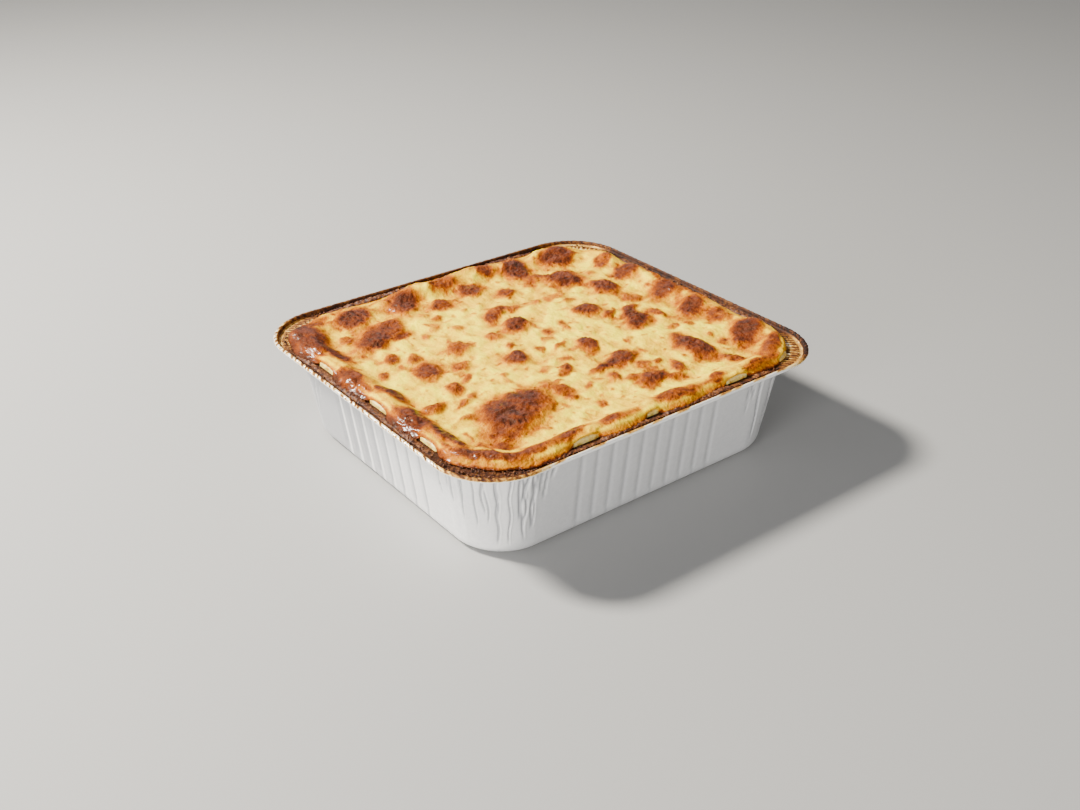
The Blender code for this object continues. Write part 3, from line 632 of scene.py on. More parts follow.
def cheeseCrust(material):
    # Rings run from the middle grid's border up the inner slope, over the crest along a quarter
    # ellipse, down the skirt to its foot, and back under the crust a gap above the filling.
    # Relief moves a point up on the slope and outwards on the skirt, by the ring's own turn.
    legs, parts = ringLayout(crust["sideLong"], crust["sideShort"], crust["cornerSteps"])
    count = len(legs)
    crest, skirt, foot, gap = edgeValues(legs, parts)
    lip = crest - foot
    low = crust["reliefOnSkirt"]
    insets, heights, turns, share = [], [], [], []
    for inset in np.linspace(crust["slopeEnd"], crust["crestInset"], crust["slopeRows"] + 1):
        insets.append(np.full(count, inset))
        heights.append(crust["middle"] + (crest - crust["middle"]) * slopeShare(inset))
        turns.append(math.pi / 2)
        share.append(1.0 - (1.0 - crust["reliefOnCrest"]) * slopeShare(inset))
    for k in range(1, crust["skirtRows"] + 1):
        angle = math.pi / 2 * (1.0 - k / crust["skirtRows"])
        insets.append(skirt + (crust["crestInset"] - skirt) * (1.0 - math.cos(angle)))
        heights.append(foot + lip * (crust["footShare"] + (1.0 - crust["footShare"]) * math.sin(angle)))
        turns.append(angle)
        share.append(low + (crust["reliefOnCrest"] - low) * math.sin(angle))
    for k in range(1, crust["footRows"] + 1):
        t = k / crust["footRows"]
        insets.append(skirt + crust["tuck"] * t * t)
        heights.append(foot + crust["footShare"] * lip * (1.0 - t))
        turns.append(0.0)
        share.append(low * (1.0 - t))
    inset, height = np.stack(insets), np.stack(heights)
    turn, share = np.array(turns)[:, None], np.array(share)[:, None]
    plainTop = insetPoints(inset, height, legs, parts)
    broad, fine, toastAndShadeTop, oilTop = crustRelief(plainTop, (crest, skirt, foot, gap))
    fine = fine * np.concatenate([np.ones(len(turn) - 3), [0.6, 0.3, 0.0]])[:, None]
    rise = broad * share + fine * (0.55 + 0.45 * share)
    # the foot spreads over the ledge, except before a gap
    outerRows = smooth(math.pi / 2, 1.2, turn)
    lowness = smooth(0.62, 0.06, (height - foot) / lip) * np.cos(turn)
    wander = 0.5 + 0.5 * layeredNoise(plainTop[..., 0], plainTop[..., 1], 6.0, 89)
    pleated = np.where(np.isin(legs, (1, 3, 7)), np.sin(math.pi * parts), 0.0)
    spill = crust["spill"] * (0.45 + 0.75 * wander) * (1.0 - gap) * (1.0 - pleated)
    outwards = (fine * 0.9 + 0.8 * broad * share) * (1.0 - 0.6 * pleated) - 0.6 * pleated * outerRows
    inset = inset - outwards * np.cos(turn) - spill * lowness
    inset = np.maximum(inset, crust["leastInset"])
    height = belowCeiling(height + rise * np.sin(turn))
    rings = list(insetPoints(inset, height, legs, parts))
    topRings = len(rings)

    under = crest - crust["onCrest"]
    face, shoulder = fillingFace(crest, skirt)
    inner = face - 1.1 * crust["gap"]
    rings.append(insetPoints(inner, foot, legs, parts))
    innerTop = np.maximum(shoulder + 1.1 * crust["gap"], foot + 0.3)
    rings.append(insetPoints(inner + 0.1, innerTop, legs, parts))
    bottom = crust["fillingTop"] + 1.2 * crust["gap"]
    for place in np.linspace(crust["crestInset"], crust["slopeEnd"], 4):
        height = bottom + (under + 1.2 * crust["gap"] - bottom) * slopeShare(place)
        rings.append(insetPoints(place, height, legs, parts))

    columns = crust["sideLong"] + crust["cornerSteps"]
    rows = crust["sideShort"] + crust["cornerSteps"]
    grid = middleGrid(plainTop[0], columns, rows)
    grid[..., 2] = crust["middle"]
    broad, fine, toastAndShadeGrid, oilGrid = crustRelief(grid, None)
    grid[..., 2] += broad + fine
    ringPoints = np.stack(rings[1:])
    hidden = (len(ringPoints) - topRings + 1) * count + 1
    toastAndShade = np.concatenate([toastAndShadeGrid.ravel(), toastAndShadeTop[1:].ravel(), np.full(hidden, 0.4)])
    oil = np.concatenate([oilGrid.ravel(), oilTop[1:].ravel(), np.zeros(hidden)])
    pole = np.array([[0.0, 0.0, bottom]])
    points = np.concatenate([grid.reshape(-1, 3), ringPoints.reshape(-1, 3), pole])

    gridQuads = gridFaces(rows + 1, columns + 1, False)
    index = np.arange((rows + 1) * (columns + 1)).reshape(rows + 1, columns + 1)
    border = np.concatenate([index[0, :-1], index[:-1, -1], index[-1, :0:-1], index[:0:-1, 0]])
    start = (rows + 1) * (columns + 1)
    first = start + np.arange(count)
    joinQuads = np.stack([border, np.roll(border, -1), np.roll(first, -1), first], axis=-1)
    ringQuads = start + gridFaces(len(ringPoints), count, True)
    # the rings run outwards, so their quads turn the other way from the grid's
    quads = np.concatenate([gridQuads, joinQuads[:, ::-1], ringQuads[:, ::-1]])
    last = start + (len(ringPoints) - 1) * count + np.arange(count)
    fans = poleFaces(last, len(points) - 1)[:, ::-1]
    addPiece("cheeseCrust", points, quads, fans, material, ["cheese_crust"],
             {"toastAndShade": toastAndShade, "oil": oil})


def belowCeiling(height):
    # keeps the highest lumps inside the frame's box: above the ceiling, heights level off as tanh
    ceiling, bend = crust["ceiling"], crust["ceilingBend"]
    over = np.clip(height - ceiling, 0.0, None)
    return np.where(height > ceiling, ceiling + bend * np.tanh(over / bend), height)


def crustRelief(points, edge):
    # Broad and fine relief in mm, toast with painted shade and light, and oil for a block of the crust's
    # top points. Broad is waves plus blister domes, fine is ridged noise where browned; edge is None in
    # the middle.
    x, y, z = points[..., 0], points[..., 1], points[..., 2]
    toastAndShade, dome = browning(x, y)
    broad = surfaceWaves(x, y) + dome
    # patterns run on down the skirt, where x and y hardly change
    px, py = x + 0.8 * z, y + 0.6 * z
    knobs = wrinkles(px, py, 2.8, 31)
    rough = 0.62 * knobs + 0.36 * wrinkles(px, py, 1.5, 37) - 0.36
    # how far a place lies inside a browned one
    inside = smooth(0.25, 0.6, toastAndShade)
    # painted shade and light: hollows of the melted cheese are painted more golden than its ridges
    toastAndShade = toastAndShade - np.clip(0.17 * (broad - dome), -0.16, 0.10) * (1.0 - inside)
    # darker and lighter places inside the browned ones, at random and as painted shade in the low places
    # between the wrinkles' ridges, then golden patches and specks outside
    toastAndShade = toastAndShade + inside * (0.11 * layeredNoise(px, py, 6.0, 59) + 0.18 * (0.55 - knobs))
    toastAndShade = toastAndShade + 0.02 + 0.14 * smooth(-0.2, 0.6, layeredNoise(x, y, 13.0, 67)) * (1.0 - inside)
    toastAndShade = toastAndShade + 0.20 * smooth(0.35, 0.75, softNoise(x, y, 6.0, 71)) * (1.0 - inside)
    toastAndShade = toastAndShade + 0.26 * smooth(0.42, 0.75, softNoise(x, y, 3.8, 91)) * (1.0 - inside)
    # yellower cheese in broad pale patches
    oil = smooth(0.05, 0.75, layeredNoise(x, y, 16.0, 41)) * (1.0 - smooth(0.1, 0.4, toastAndShade))
    if edge is not None:
        crest, _, foot, gap = edge
        row = np.arange(len(points))[:, None] / crust["slopeRows"]
        outer = smooth(0.95, 1.25, row)
        height = (z - foot) / (crest - foot)
        patchy = 0.5 + 0.5 * layeredNoise(px, py, 9.0, 47)
        # how far a place lies on the left side, and on the front side with its corner
        left = smooth(-66.0, -80.0, x) * smooth(-66.0, -52.0, y)
        front = smooth(-62.0, -74.0, y)
        # the crest's browning, then the skirt's, paler beside a gap
        band = np.exp(-((row - 1.15) / 0.30) ** 2)
        bandTone = 0.20 + 0.22 * patchy + 0.30 * left + front * (0.14 + 0.26 * patchy)
        toastAndShade = np.maximum(toastAndShade, band * bandTone * (1.0 - 0.6 * gap))
        skirtTone = 0.29 + 0.18 * patchy + left * (0.27 + 0.20 * patchy)
        low = smooth(0.85, 0.45, height) * outer
        toastAndShade = toastAndShade * (1.0 - low) + skirtTone * (1.0 - 0.3 * gap) * low
        toastAndShade = toastAndShade + 0.16 * left * outer * (1.0 - gap)
        # painted shade: golden in the valley inside the crest, most on the left and in the back corners
        valley = np.exp(-((row - 0.50) / 0.30) ** 2)
        toastAndShade = toastAndShade + (0.10 + 0.12 * smooth(-50.0, -80.0, x)) * valley * patchy
        # the foot is burnt where it meets the ledge, least in the right corner
        ragged = height + 0.16 * softNoise(px, py, 2.4, 53)
        burnt = smooth(0.60, 0.16, ragged) * outer * smooth(1.2, 0.6, foot - crust["foot"])
        burnt = burnt * (0.75 + 0.25 * left) * smooth(92.0, 60.0, x)
        toastAndShade = np.maximum(toastAndShade, burnt)
        oil = oil * (1.0 - outer)
        # the raised edge is knobbly on its own
        raised = smooth(0.55, 0.95, row)
        broad = broad + raised * (0.75 * softNoise(px, py, 5.5, 73) + 0.35 * softNoise(px, py, 3.0, 79))
        # folds drape from the crest down the inner slope along the back and right sides; their valleys
        # are painted more golden and their ridges paler, as painted shade and light
        drape = np.exp(-((row - 0.72) / 0.22) ** 2) * smooth(10.0, 45.0, x + y)
        fold = softNoise(x - y, 0.2 * (x + y), 5.0, 93)
        broad = broad + 1.30 * drape * fold
        toastAndShade = toastAndShade - 0.24 * drape * fold * (1.0 - smooth(0.3, 0.6, toastAndShade))
    fine = rough * smooth(0.20, 0.60, toastAndShade) + 0.22 * (wrinkles(px, py, 3.4, 83) - 0.4)
    fine = fine + 0.06 * softNoise(px, py, 1.5, 43)
    return broad, fine, np.clip(toastAndShade, 0.0, 1.0), oil


# The filling under it

filling = {
    "sideLong": 150, "sideShort": 130, "cornerSteps": 40, "faceRows": 8, "slopeRows": 6,
    "floor": 0.85, "wallInset": 1.25, "fillet": 3.75, "wallTop": 42.7,
    "bend": ((10.45, 45.4), (10.4, 46.4)), "bendOut": 9.7, "bendTop": 47.0, "faceStart": 0.35,
}


def bowlSection(height, inset):
    # half sizes and corner radius of the tapered wall, in a straight line from base to wall top
    t = height / rim["wallTop"]
    topCorner = rim["corner"] - rim["cornerLoss"] * rim["wallTopInset"]
    halfX = base["halfX"] + t * (rim["halfX"] - rim["wallTopInset"] - base["halfX"])
    halfY = base["halfY"] + t * (rim["halfY"] - rim["wallTopInset"] - base["halfY"])
    radius = base["corner"] + t * (topCorner - base["corner"])
    return halfX - inset, halfY - inset, radius - inset


def pastaFilling(material):
    # Rings from the bottom's rounded edge up the wall, over the ledge's bend, up the face that
    # shows in the arches, over the shoulder and down the inner slope to a flat top.
    legs, parts = ringLayout(filling["sideLong"], filling["sideShort"], filling["cornerSteps"])
    count = len(legs)
    crest, skirt, _, gap = edgeValues(legs, parts)
    top = crest - crust["onCrest"]
    face, shoulder = fillingFace(crest, skirt)
    rings = []
    wallInset, fillet = filling["wallInset"], filling["fillet"]
    for degrees in (0, 30, 60, 90):
        angle = math.radians(degrees)
        height = filling["floor"] + fillet * (1.0 - math.cos(angle))
        tuck = wallInset + fillet * (1.0 - math.sin(angle))
        x, y, _, _ = outline(*bowlSection(height, tuck), legs, parts)
        rings.append(np.stack([x, y, np.full(count, height)], axis=-1))
    x, y, _, _ = outline(*bowlSection(filling["wallTop"], wallInset), legs, parts)
    rings.append(np.stack([x, y, np.full(count, filling["wallTop"])], axis=-1))
    # the filling bulges out into the arched gaps
    face = face - 0.4 * gap - 1.3 * smooth(0.55, 1.0, gap)
    bendEnd = (np.maximum(filling["bendOut"], face), filling["bendTop"])
    for inset, height in (*filling["bend"], bendEnd):
        rings.append(insetPoints(inset, np.full(count, height), legs, parts))
    for k in range(filling["faceRows"] + 1):
        t = k / filling["faceRows"]
        climb = shoulder - rim["ledge"] - filling["faceStart"]
        height = rim["ledge"] + filling["faceStart"] + t * climb
        ring = insetPoints(face + 0.2 * t, height, legs, parts)
        ripple = 0.45 * softNoise(ring[:, 0] + ring[:, 1], height, 2.4, 61) * math.sin(math.pi * t)
        ring[:, :2] *= (1.0 + ripple / 85.0)[:, None]
        rings.append(ring)
    for k in range(filling["slopeRows"] + 1):
        t = k / filling["slopeRows"]
        inset = crust["crestInset"] + t * (crust["slopeEnd"] - crust["crestInset"])
        height = crust["fillingTop"] + (top - crust["fillingTop"]) * slopeShare(inset)
        rings.append(insetPoints(inset, height, legs, parts))
    poles = [[0.0, 0.0, filling["floor"]], [0.0, 0.0, crust["fillingTop"]]]
    points, quads, fans = cappedTube(np.stack(rings), poles)
    addPiece("pastaFilling", points, quads, fans, material, ["pasta_filling"])


# The foil tray's wall

wall = {
    "sideMarks": 170, "cornerMarks": 130, "rows": 34, "plainEnd": 46.0,
    "fillet": 5.0, "grooveWidth": 2.1, "grooveDepth": 0.85, "fade": 3.0,
    "longPitch": 8.33, "longCount": 10, "longShift": -2.5, "shortPitch": 9.4, "shortCount": 8,
    "frontGrooves": 0.45, "least": -0.10, "most": 0.95, "foil": 0.9,
    # the inner face, down from the top: height, and inset beyond the foil's thickness
    "inside": ((45.7, 0.0), (38.0, 0.0), (20.0, 0.0), (5.4, 0.0), (3.4, 0.4), (1.5, 1.8), (0.5, 4.4)),
}

# Folds of a pressed corner: distances in mm, the creases' ranges for their seeded draws
cornerFolds = {
    "seed": 40, "folds": 9, "foldStep": (3.2, 6.4), "facetRadius": 22.0, "fan": 0.45,
    "creases": 26, "reach": 21.0, "width": (0.26, 0.60), "depth": (0.30, 0.75),
}


def wallLayout():
    # leg and mark per column: mm from a side's middle at the base, or the share of a corner
    legs, marks = [], []
    for leg in range(8):
        if leg % 2:
            marks.append(np.arange(wall["cornerMarks"]) / wall["cornerMarks"])
        else:
            reach = (base["halfY"] if leg in (0, 4) else base["halfX"]) - base["corner"]
            marks.append(np.linspace(-reach, reach, wall["sideMarks"], endpoint=False))
        legs.append(np.full(len(marks[-1]), leg))
    return np.concatenate(legs), np.concatenate(marks)


def wallGrid(legs, marks, heights, inset):
    # Points, outward directions, distance along a side (huge in a corner), signed distance from
    # the nearest corner's middle and that corner's number, for rows at the heights. Grooves stay
    # upright: only a side's ends stretch.
    halfX, halfY, radius = (np.asarray(v)[:, None] for v in bowlSection(heights, inset))
    turn = (legs // 2)[None, :]
    corner = (legs % 2 == 1)[None, :]
    straight = np.where(turn % 2 == 0, halfY, halfX) - radius
    baseReach = np.where(turn % 2 == 0, base["halfY"], base["halfX"]) - base["corner"]
    past = np.clip(np.abs(marks) - wall["plainEnd"], 0.0, None) / (baseReach - wall["plainEnd"])
    along = marks + np.sign(marks) * past * (straight - baseReach)
    part = np.where(corner, marks[None, :], (along / straight + 1.0) / 2.0)
    legGrid = np.broadcast_to(legs[None, :], part.shape)
    x, y, nx, ny = outline(halfX, halfY, radius, legGrid, part)
    cornerArc = radius * math.pi / 4
    fromCorner = np.where(corner, radius * (marks - 0.5) * math.pi / 2,
                          np.where(along > 0, -(straight - along) - cornerArc,
                                   (straight + along) + cornerArc))
    cornerIndex = np.where(corner, turn, np.where(along > 0, turn, (turn - 1) % 4))
    return x, y, nx, ny, np.where(corner, 1e6, along), fromCorner, cornerIndex


def grooves(along, leg):
    # Upright grooves at an even pitch across the middle of each side, as depth from 0 to 1,
    # falling evenly to 0 at grooveWidth from a groove's middle.
    long = (leg == 2) | (leg == 6)
    pitch = np.where(long, wall["longPitch"], wall["shortPitch"])
    count = np.where(long, wall["longCount"], wall["shortCount"])
    shift = np.where(leg == 6, wall["longShift"], np.where(leg == 2, -wall["longShift"], 0.0))
    steps = (along - shift) / pitch + (count - 1) / 2
    nearest = np.round(steps)
    away = np.abs(steps - nearest) * pitch
    inside = (nearest >= 0) & (nearest <= count - 1)
    return np.where(inside, np.clip(1.0 - away / wall["grooveWidth"], 0.0, 1.0), 0.0)


def creases(fromCorner, height, cornerIndex):
    # Folds of the pressed corners: flat facets between uneven fold lines, plus sharp creases
    # that fan out towards the rim. The fan is undone by scaling the distance with the height.
    fan = 1.0 + cornerFolds["fan"] * height / rim["wallTop"]
    relief = np.zeros(fromCorner.shape)
    for corner in range(4):
        draw = np.random.default_rng(cornerFolds["seed"] + corner)
        here = cornerIndex == corner
        q = fromCorner / fan
        folds = np.cumsum(draw.uniform(*cornerFolds["foldStep"], cornerFolds["folds"]))
        folds = folds - folds.mean()
        slot = np.clip(np.searchsorted(folds, q) - 1, 0, len(folds) - 2)
        middle = 0.5 * (folds[slot] + folds[slot + 1])
        half = 0.5 * (folds[slot + 1] - folds[slot])
        facet = np.clip(half ** 2 - (q - middle) ** 2, 0.0, None) / (2.0 * cornerFolds["facetRadius"])
        inArc = smooth(20.0, 16.0, np.abs(q))
        total = 0.8 * facet * inArc * smooth(3.0, 10.0, height)
        for _ in range(cornerFolds["creases"]):
            at = draw.uniform(-cornerFolds["reach"], cornerFolds["reach"])
            width = draw.uniform(*cornerFolds["width"])
            depth = draw.uniform(*cornerFolds["depth"])
            low = draw.uniform(4.0, 30.0) if abs(at) < 15 else draw.uniform(20.0, 34.0)
            swing, pitch, phase = draw.uniform(0.1, 0.6), draw.uniform(2.0, 5.0), draw.uniform(0, 6)
            wobble = swing * np.sin(height / pitch + phase)
            away = (q - at - wobble) / width
            profile = np.exp(-away ** 2) - 0.55 * np.exp(-(away - 1.9) ** 2)
            total = total + depth * profile * smooth(low, low + 7.0, height)
        relief = relief + np.where(here, total, 0.0)
    return relief


def trayWall(material):
    # The outer face from the bottom's middle up the rounded edge and the wall, then the inner
    # face back down, a foil's thickness inside it.
    legs, marks = wallLayout()
    angles = np.radians(np.array([0.0, 18.0, 36.0, 54.0, 72.0]))
    edgeHeights = wall["fillet"] * (1.0 - np.cos(angles))
    heights = np.concatenate([edgeHeights, np.linspace(wall["fillet"], rim["wallTop"], wall["rows"])])
    tuck = np.concatenate([wall["fillet"] * (1.0 - np.sin(angles)), np.zeros(wall["rows"])])
    x, y, nx, ny, along, fromCorner, cornerIndex = wallGrid(legs, marks, heights, tuck)
    h = heights[:, None]
    reach = smooth(wall["fillet"] - 1.0, wall["fillet"] + wall["fade"], h)
    depth = wall["grooveDepth"] * grooves(along, legs[None, :]) * reach
    depth = depth * np.where(legs[None, :] == 6, wall["frontGrooves"], 1.0)
    depth = depth * smooth(rim["wallTop"], rim["wallTop"] - 2.0, h)
    depth = depth + creases(fromCorner, h, cornerIndex) * smooth(2.0, 6.0, h)
    dent = 0.05 * softNoise(np.arctan2(y, x) * 60.0, h + 0.0 * x, 14.0, 71)
    depth = np.clip(depth + dent * reach, wall["least"], wall["most"])
    depth = depth * smooth(rim["wallTop"] + 0.1, rim["wallTop"] - 1.2, h)
    outer = np.stack([x - nx * depth, y - ny * depth, np.broadcast_to(h, x.shape)], axis=-1)

    innerHeights, innerTuck = np.array(wall["inside"]).T
    innerX, innerY = wallGrid(legs, marks, innerHeights, innerTuck + wall["foil"])[:2]
    innerZ = np.broadcast_to(innerHeights[:, None], innerX.shape)
    inner = np.stack([innerX, innerY, innerZ], axis=-1)
    poles = [[0.0, 0.0, 0.0], [0.0, 0.0, innerHeights[-1]]]
    points, quads, fans = cappedTube(np.concatenate([outer, inner]), poles)
    # painted light on the foil, from dull at 0 (painted shade) to bright at 0.05 (painted highlight):
    # painted highlights as bright bands beside the -X side's grooves towards the back, bright panels
    # nearer the front, a bright front corner and bright bulges between the corners' creases; painted
    # shade in the grooves, in the creases and just under the rim
    leg = legs[None, :]
    band = grooves(along - 2.6, leg)
    paintedLight = np.where(leg == 4, np.maximum(smooth(20.0, -25.0, y) * 0.85, smooth(0.15, 0.6, band)), 0.0)
    paintedLight = paintedLight - np.where(leg == 4, 0.8 * smooth(0.35, 0.9, grooves(along, leg)), 0.0)
    paintedLight = paintedLight + np.where(leg == 6, 0.62 - 0.3 * smooth(0.4, 0.9, grooves(along, leg)), 0.0)
    paintedLight = paintedLight + np.where(leg == 5, 0.95 - 0.33 * marks[None, :], 0.0)
    hidden = (leg != 4) & (leg != 5) & (leg != 6)
    paintedLight = paintedLight + np.where(hidden, 0.5 - 0.5 * (leg == 3) * marks[None, :], 0.0)
    folds = creases(fromCorner, h, cornerIndex)
    # painted shade in the creases, painted highlight on the bulges beside them
    paintedLight = paintedLight - 0.8 * smooth(0.10, 0.40, folds) + 0.3 * smooth(-0.02, -0.15, folds)
    # painted shade on the wall's top, just under the rim
    paintedLight = paintedLight - 0.5 * smooth(rim["wallTop"] - 2.5, rim["wallTop"], h)
    burn = np.full(len(points), 0.02)
    burn[:outer[..., 0].size] = 0.05 * np.clip(paintedLight, 0.0, 1.0).ravel()
    addPiece("trayWall", points, quads, fans, material, ["foil_tray"], {"burn": burn})


# The foil tray's ledge, lip and rolled bead

bead = {
    "sideLong": 330, "sideShort": 300, "cornerSteps": 150,
    "crimpPitch": 3.4, "crimpDepth": 0.26, "pleatPitch": 2.3, "pleatDepth": 0.30,
}

# Brown smears on the front bead: x and half length in mm
frontSmears = [(-57, 2), (-38, 3), (-20, 5), (-8, 2), (6, 3), (30, 3), (37, 2), (50, 3), (64, 3)]


def rimProfile():
    # Inset and height round the closed section: from the seat on the wall outwards under the
    # ledge, round the bead, down its inner side and back along the ledge to the bend.
    rows = [(10.1, 46.0), (9.2, 46.0), (8.4, 46.25), (7.8, 46.3), (5.4, 46.3), (2.9, 46.3), (2.2, 46.6),
            (1.6, 47.0)]
    for degrees in range(-75, 196, 15):
        # from under the bead (-75) round its outer side (0) and its top (90) to its inner side
        angle = math.radians(degrees)
        rows.append((rim["bead"] * (1.0 - math.cos(angle)),
                     rim["beadMiddle"] + rim["bead"] * math.sin(angle)))
    lip = [(2.02, 47.45), (2.1, 47.2), (2.3, 47.0), (2.55, 46.88), (2.9, 46.8)]
    ledge = [(inset, rim["ledge"]) for inset in np.linspace(3.4, 7.4, 9)]
    bend = [(8.0, 46.76), (8.6, 46.65), (9.2, 46.5), (9.7, 46.3)]
    return np.array(rows + lip + ledge + bend)


def trayRim(material):
    # The profile swept round the outline. Crimps press the bead in by a sine along its run, whose
    # phase leans with the angle, plus soft noise; pleats raise the ledge by a sine along the run.
    profile = rimProfile()
    legs, parts = ringLayout(bead["sideLong"], bead["sideShort"], bead["cornerSteps"])
    count = len(legs)
    inset = profile[:, :1] + np.zeros(count)[None, :]
    height = profile[:, 1:] + np.zeros(count)[None, :]
    line = insetPoints(3.0, 0.0, legs, parts)
    steps = np.hypot(*(np.roll(line, -1, axis=0) - line)[:, :2].T)
    run = np.concatenate([[0.0], np.cumsum(steps)[:-1]])[None, :]
    x0, y0 = line[:, 0][None, :], line[:, 1][None, :]

    # how much of each part of the rim a place belongs to, in soft steps
    leg = legs[None, :]
    inCorner = leg % 2 == 1
    share = np.where(inCorner, parts[None, :], 0.0)
    withinCorner = smooth(-0.05, 0.25, share) * smooth(1.05, 0.75, share)
    pleated = np.where(inCorner & (leg != 5), withinCorner, 0.0)
    front = smooth(-70.0, -80.0, y0) * smooth(-78.0, -62.0, x0) * smooth(86.0, 72.0, x0)
    left = smooth(-78.0, -88.0, x0) * smooth(-72.0, -60.0, y0)
    nearCorner = smooth(-58.0, -74.0, x0) * smooth(-58.0, -74.0, y0)
    back = np.clip(1.0 - front - left - nearCorner, 0.0, 1.0)

    # round the bead: -1.3 underneath, 0 at its outer side, 1.6 on top, 3 at its inner side
    angle = np.arctan2(height - rim["beadMiddle"], rim["bead"] - inset)
    angle = np.where(angle < -1.5, angle + 2.0 * math.pi, angle)
    onBead = ((inset < 2.06) & (height > 47.02)) * 1.0
    warp = run + 2.4 * softNoise(run, 0.0 * run, 7.0, 83)
    phase = 2.0 * math.pi * warp / bead["crimpPitch"] + 1.3 * angle
    crimp = 0.25 + 0.30 * np.sin(phase) + 0.65 * softNoise(run + 0.9 * angle, angle * 0.5, 2.4, 89)
    crimp = np.clip(crimp, 0.0, 1.0)
    dip = bead["crimpDepth"] * crimp * (1.0 - 0.75 * front) * onBead
    dip = dip + 0.06 * np.abs(softNoise(run, angle * 1.5, 1.6, 97)) * onBead
    inset = inset + dip * np.cos(angle)
    height = height - dip * np.sin(angle)

    # radial pleats on the ledge, strongest in the corners
    onLedge = smooth(2.8, 3.8, inset) * smooth(9.0, 7.6, inset) * (height > 46.6)
    pleatRun = run + 0.8 * softNoise(run, 0.0 * run, 5.0, 101)
    wave = np.sin(2.0 * math.pi * pleatRun / bead["pleatPitch"])
    pleat = bead["pleatDepth"] * (0.3 + 0.7 * pleated) * (0.5 + 0.5 * wave)
    pleat = pleat + 0.12 * np.abs(softNoise(run, inset, 1.8, 103))
    height = height + pleat * onLedge
    points = insetPoints(inset, height, legs, parts)

    # sheen and burn: 0 is dull foil, painted shade, left under the bead; 0.05 is bright foil, a painted
    # highlight, on the bead; then up to 1, black burn
    patch = 0.5 + 0.5 * layeredNoise(run, inset * 2.0, 7.0, 107)
    fine = 0.5 + 0.5 * softNoise(run, inset, 1.2, 109)
    speck = 0.5 + 0.5 * softNoise(run, angle * 1.2, 0.9, 113)
    topSide = smooth(-0.2, 0.5, angle) * onBead
    innerSide = smooth(1.5, 2.3, angle) * onBead
    mark = smooth(0.30, 0.55, crimp) * smooth(0.1, 0.5, patch + 0.25)
    # the bead starts bright, a painted highlight, before its burn is added
    burn = 0.05 * onBead + topSide * left * (0.52 * mark + 0.50 * smooth(0.56, 0.80, speck))
    burn = burn + topSide * nearCorner * (0.22 + 0.34 * speck + 0.30 * mark)
    burn = burn + topSide * back * smooth(-0.1, 0.9, angle) * (0.40 + 0.40 * speck + 0.20 * mark)
    rightCorner = smooth(62.0, 80.0, x0) * smooth(-50.0, -66.0, y0)
    burn = burn + topSide * rightCorner * (0.10 + 0.22 * speck + 0.16 * mark)
    smear = np.zeros(inset.shape)
    for at, reach in frontSmears:
        wander = x0 - at + 1.2 * np.sin(angle * 2.0)
        smear = np.maximum(smear, smooth(reach + 1.5, reach - 1.0, np.abs(wander)))
    burn = burn + 0.60 * front * smear * smooth(0.5, 1.4, angle) * onBead * (0.3 + 0.7 * fine)
    innerTone = (0.62 + 0.30 * patch) * (1.0 - 0.3 * front - 0.3 * pleated)
    burn = np.maximum(burn, innerSide * innerTone)
    lipZone = smooth(1.9, 2.1, inset) * (height > 46.7) * smooth(4.6, 3.4, inset)
    burn = np.maximum(burn, lipZone * (0.74 + 0.22 * patch) * (1.0 - 0.65 * pleated))
    ledgeTone = 0.80 - 0.52 * pleated * (0.6 + 0.4 * patch) + 0.40 * (fine - 0.5)
    # darker in the pleats' troughs
    ledgeTone = ledgeTone + 0.34 * (0.5 - 0.5 * wave) * pleated
    cleaner = smooth(0.35, 0.6, patch + 0.15 * wave)
    ledgeTone = ledgeTone - 0.30 * back * smooth(4.6, 6.6, inset) * cleaner
    onTop = smooth(2.6, 3.4, inset) * (height > 46.7)
    burn = np.maximum(burn, onTop * np.clip(ledgeTone, 0.1, 1.0))
    quads = gridFaces(len(points), count, True)
    firstRow = np.arange(count)
    lastRow = (len(points) - 1) * count + np.arange(count)
    seam = np.stack([lastRow, np.roll(lastRow, -1), np.roll(firstRow, -1), firstRow], axis=-1)
    addPiece("trayRim", points, np.concatenate([quads, seam]), [], material,
             ["tray_rim"], {"burn": burn})


# Burnt sauce along the ledge

sauce = {"foot": rim["ledge"] + 0.4, "outer": 2.9, "rise": 1.7, "clear": 0.45, "steps": 620,
         "around": 24}
# first and last place of each strip, as leg plus part
sauceStretches = {
    "burnt_sauce_right": (0.06, 0.94), "burnt_sauce_back": (2.04, 2.96),
    "burnt_sauce_left": (4.04, 4.96), "burnt_sauce_front": (6.04, 6.96),
}


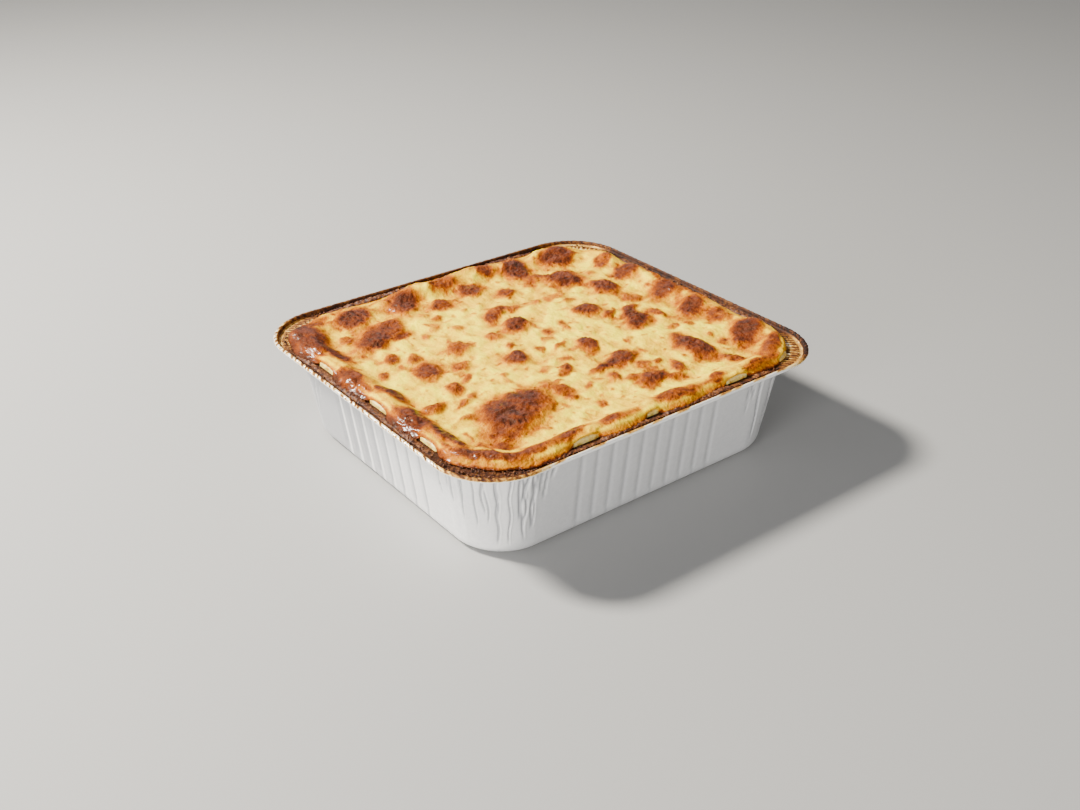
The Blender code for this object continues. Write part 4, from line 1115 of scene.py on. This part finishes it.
def burntSauce(node, material):
    # A strip between the lip and the crust: each section is nearly half an ellipse, scaled by
    # soft noise at three sizes, and both ends taper as the square root of the distance from them.
    first, last = sauceStretches[node]
    place = np.linspace(first, last, sauce["steps"])
    legs = np.floor(place).astype(int)
    parts = place - legs
    _, skirt, _, gap = edgeValues(legs, parts)
    ends = np.minimum(place - first, last - place)
    swell = np.clip(ends / (0.12 * (last - first)), 0.02, 1.0) ** 0.5 * (1.0 - 0.75 * gap)
    inner = skirt - sauce["clear"]
    middle = 0.5 * (sauce["outer"] + inner)
    half = 0.5 * (inner - sauce["outer"]) * (0.4 + 0.6 * swell)
    angle = np.linspace(math.pi, -math.pi, sauce["around"], endpoint=False)[None, :]
    across = np.cos(angle)
    up = np.clip(np.sin(angle), 0.0, None) ** 0.7
    run = (place * 120.0)[:, None]
    lumps = 0.62 + 0.34 * softNoise(run, angle * 1.5, 3.2, 113)
    lumps = lumps + 0.30 * softNoise(run, angle * 2.0, 1.3, 127)
    lumps = lumps + 0.16 * softNoise(run, angle * 2.0, 0.7, 131)
    inset = middle[:, None] - half[:, None] * across * (0.86 + 0.14 * lumps)
    height = sauce["foot"] + sauce["rise"] * swell[:, None] * up * np.clip(lumps, 0.1, 1.0)
    rings = insetPoints(inset, height, legs[:, None], parts[:, None])
    points, quads, fans = cappedTube(rings, [rings[0].mean(axis=0), rings[-1].mean(axis=0)])
    words = node.split("_")
    addPiece(words[0] + words[1].title() + words[2].title(), points, quads, fans, material,
             [node])


# Burnt crumbs on the ledge and against the bead

crumbs = {"count": 1500, "small": 0.22, "large": 0.62, "leastInset": 2.5, "seed": 7}


def burntCrumbs(material):
    # Each crumb is a twelve-cornered lump, its corners pushed in and out by a seeded draw.
    draw = np.random.default_rng(crumbs["seed"])
    golden = (1.0 + 5.0 ** 0.5) / 2.0
    corners = []
    for a in (-1.0, 1.0):
        for b in (-golden, golden):
            corners += [(0.0, a, b), (a, b, 0.0), (b, 0.0, a)]
    corners = np.array(corners) / math.hypot(1.0, golden)
    hull = bmesh.new()
    for corner in corners:
        hull.verts.new(corner)
    bmesh.ops.convex_hull(hull, input=hull.verts)
    hull.verts.index_update()
    shape = np.array([v.co for v in hull.verts])
    sides = np.array([[v.index for v in face.verts] for face in hull.faces])
    hull.free()

    place = draw.uniform(0.0, 8.0, crumbs["count"])
    pleated = np.isin(np.floor(place), (1, 3, 7)) & (draw.uniform(0.0, 1.0, len(place)) > 0.15)
    place = place[~pleated]
    count = len(place)
    legs = np.floor(place).astype(int)
    parts = place - legs
    _, skirt, _, _ = edgeValues(legs, parts)
    size = crumbs["small"] + (crumbs["large"] - crumbs["small"]) * draw.uniform(0.0, 1.0, count) ** 2.5
    low, high = crumbs["leastInset"] + size, skirt - 0.15 - size
    inset = low + np.clip(high - low, 0.1, None) * draw.uniform(0.0, 1.0, count)
    middle = insetPoints(inset, rim["ledge"] + 0.45 + 0.5 * size, legs, parts)
    lumpy = draw.uniform(0.65, 1.15, (count, len(shape), 1))
    flat = np.array([1.0, 1.0, 0.75])
    points = middle[:, None, :] + shape[None] * lumpy * flat * size[:, None, None]
    faces = (sides[None] + len(shape) * np.arange(count)[:, None, None]).reshape(-1, 3)
    noQuads = np.zeros((0, 4), int)
    addPiece("burntCrumbs", points, noQuads, faces, material)


addCamera()
addLights()
addFloor()
print("camera, lights and floor made")
foil = foilMaterial()
trayWall(foil)
trayRim(foil)
pastaFilling(pastaMaterial())
cheeseCrust(cheeseMaterial())
saucePaint = sauceMaterial()
for nodeName in sauceStretches:
    burntSauce(nodeName, saucePaint)
burntCrumbs(saucePaint)
print("pieces made")
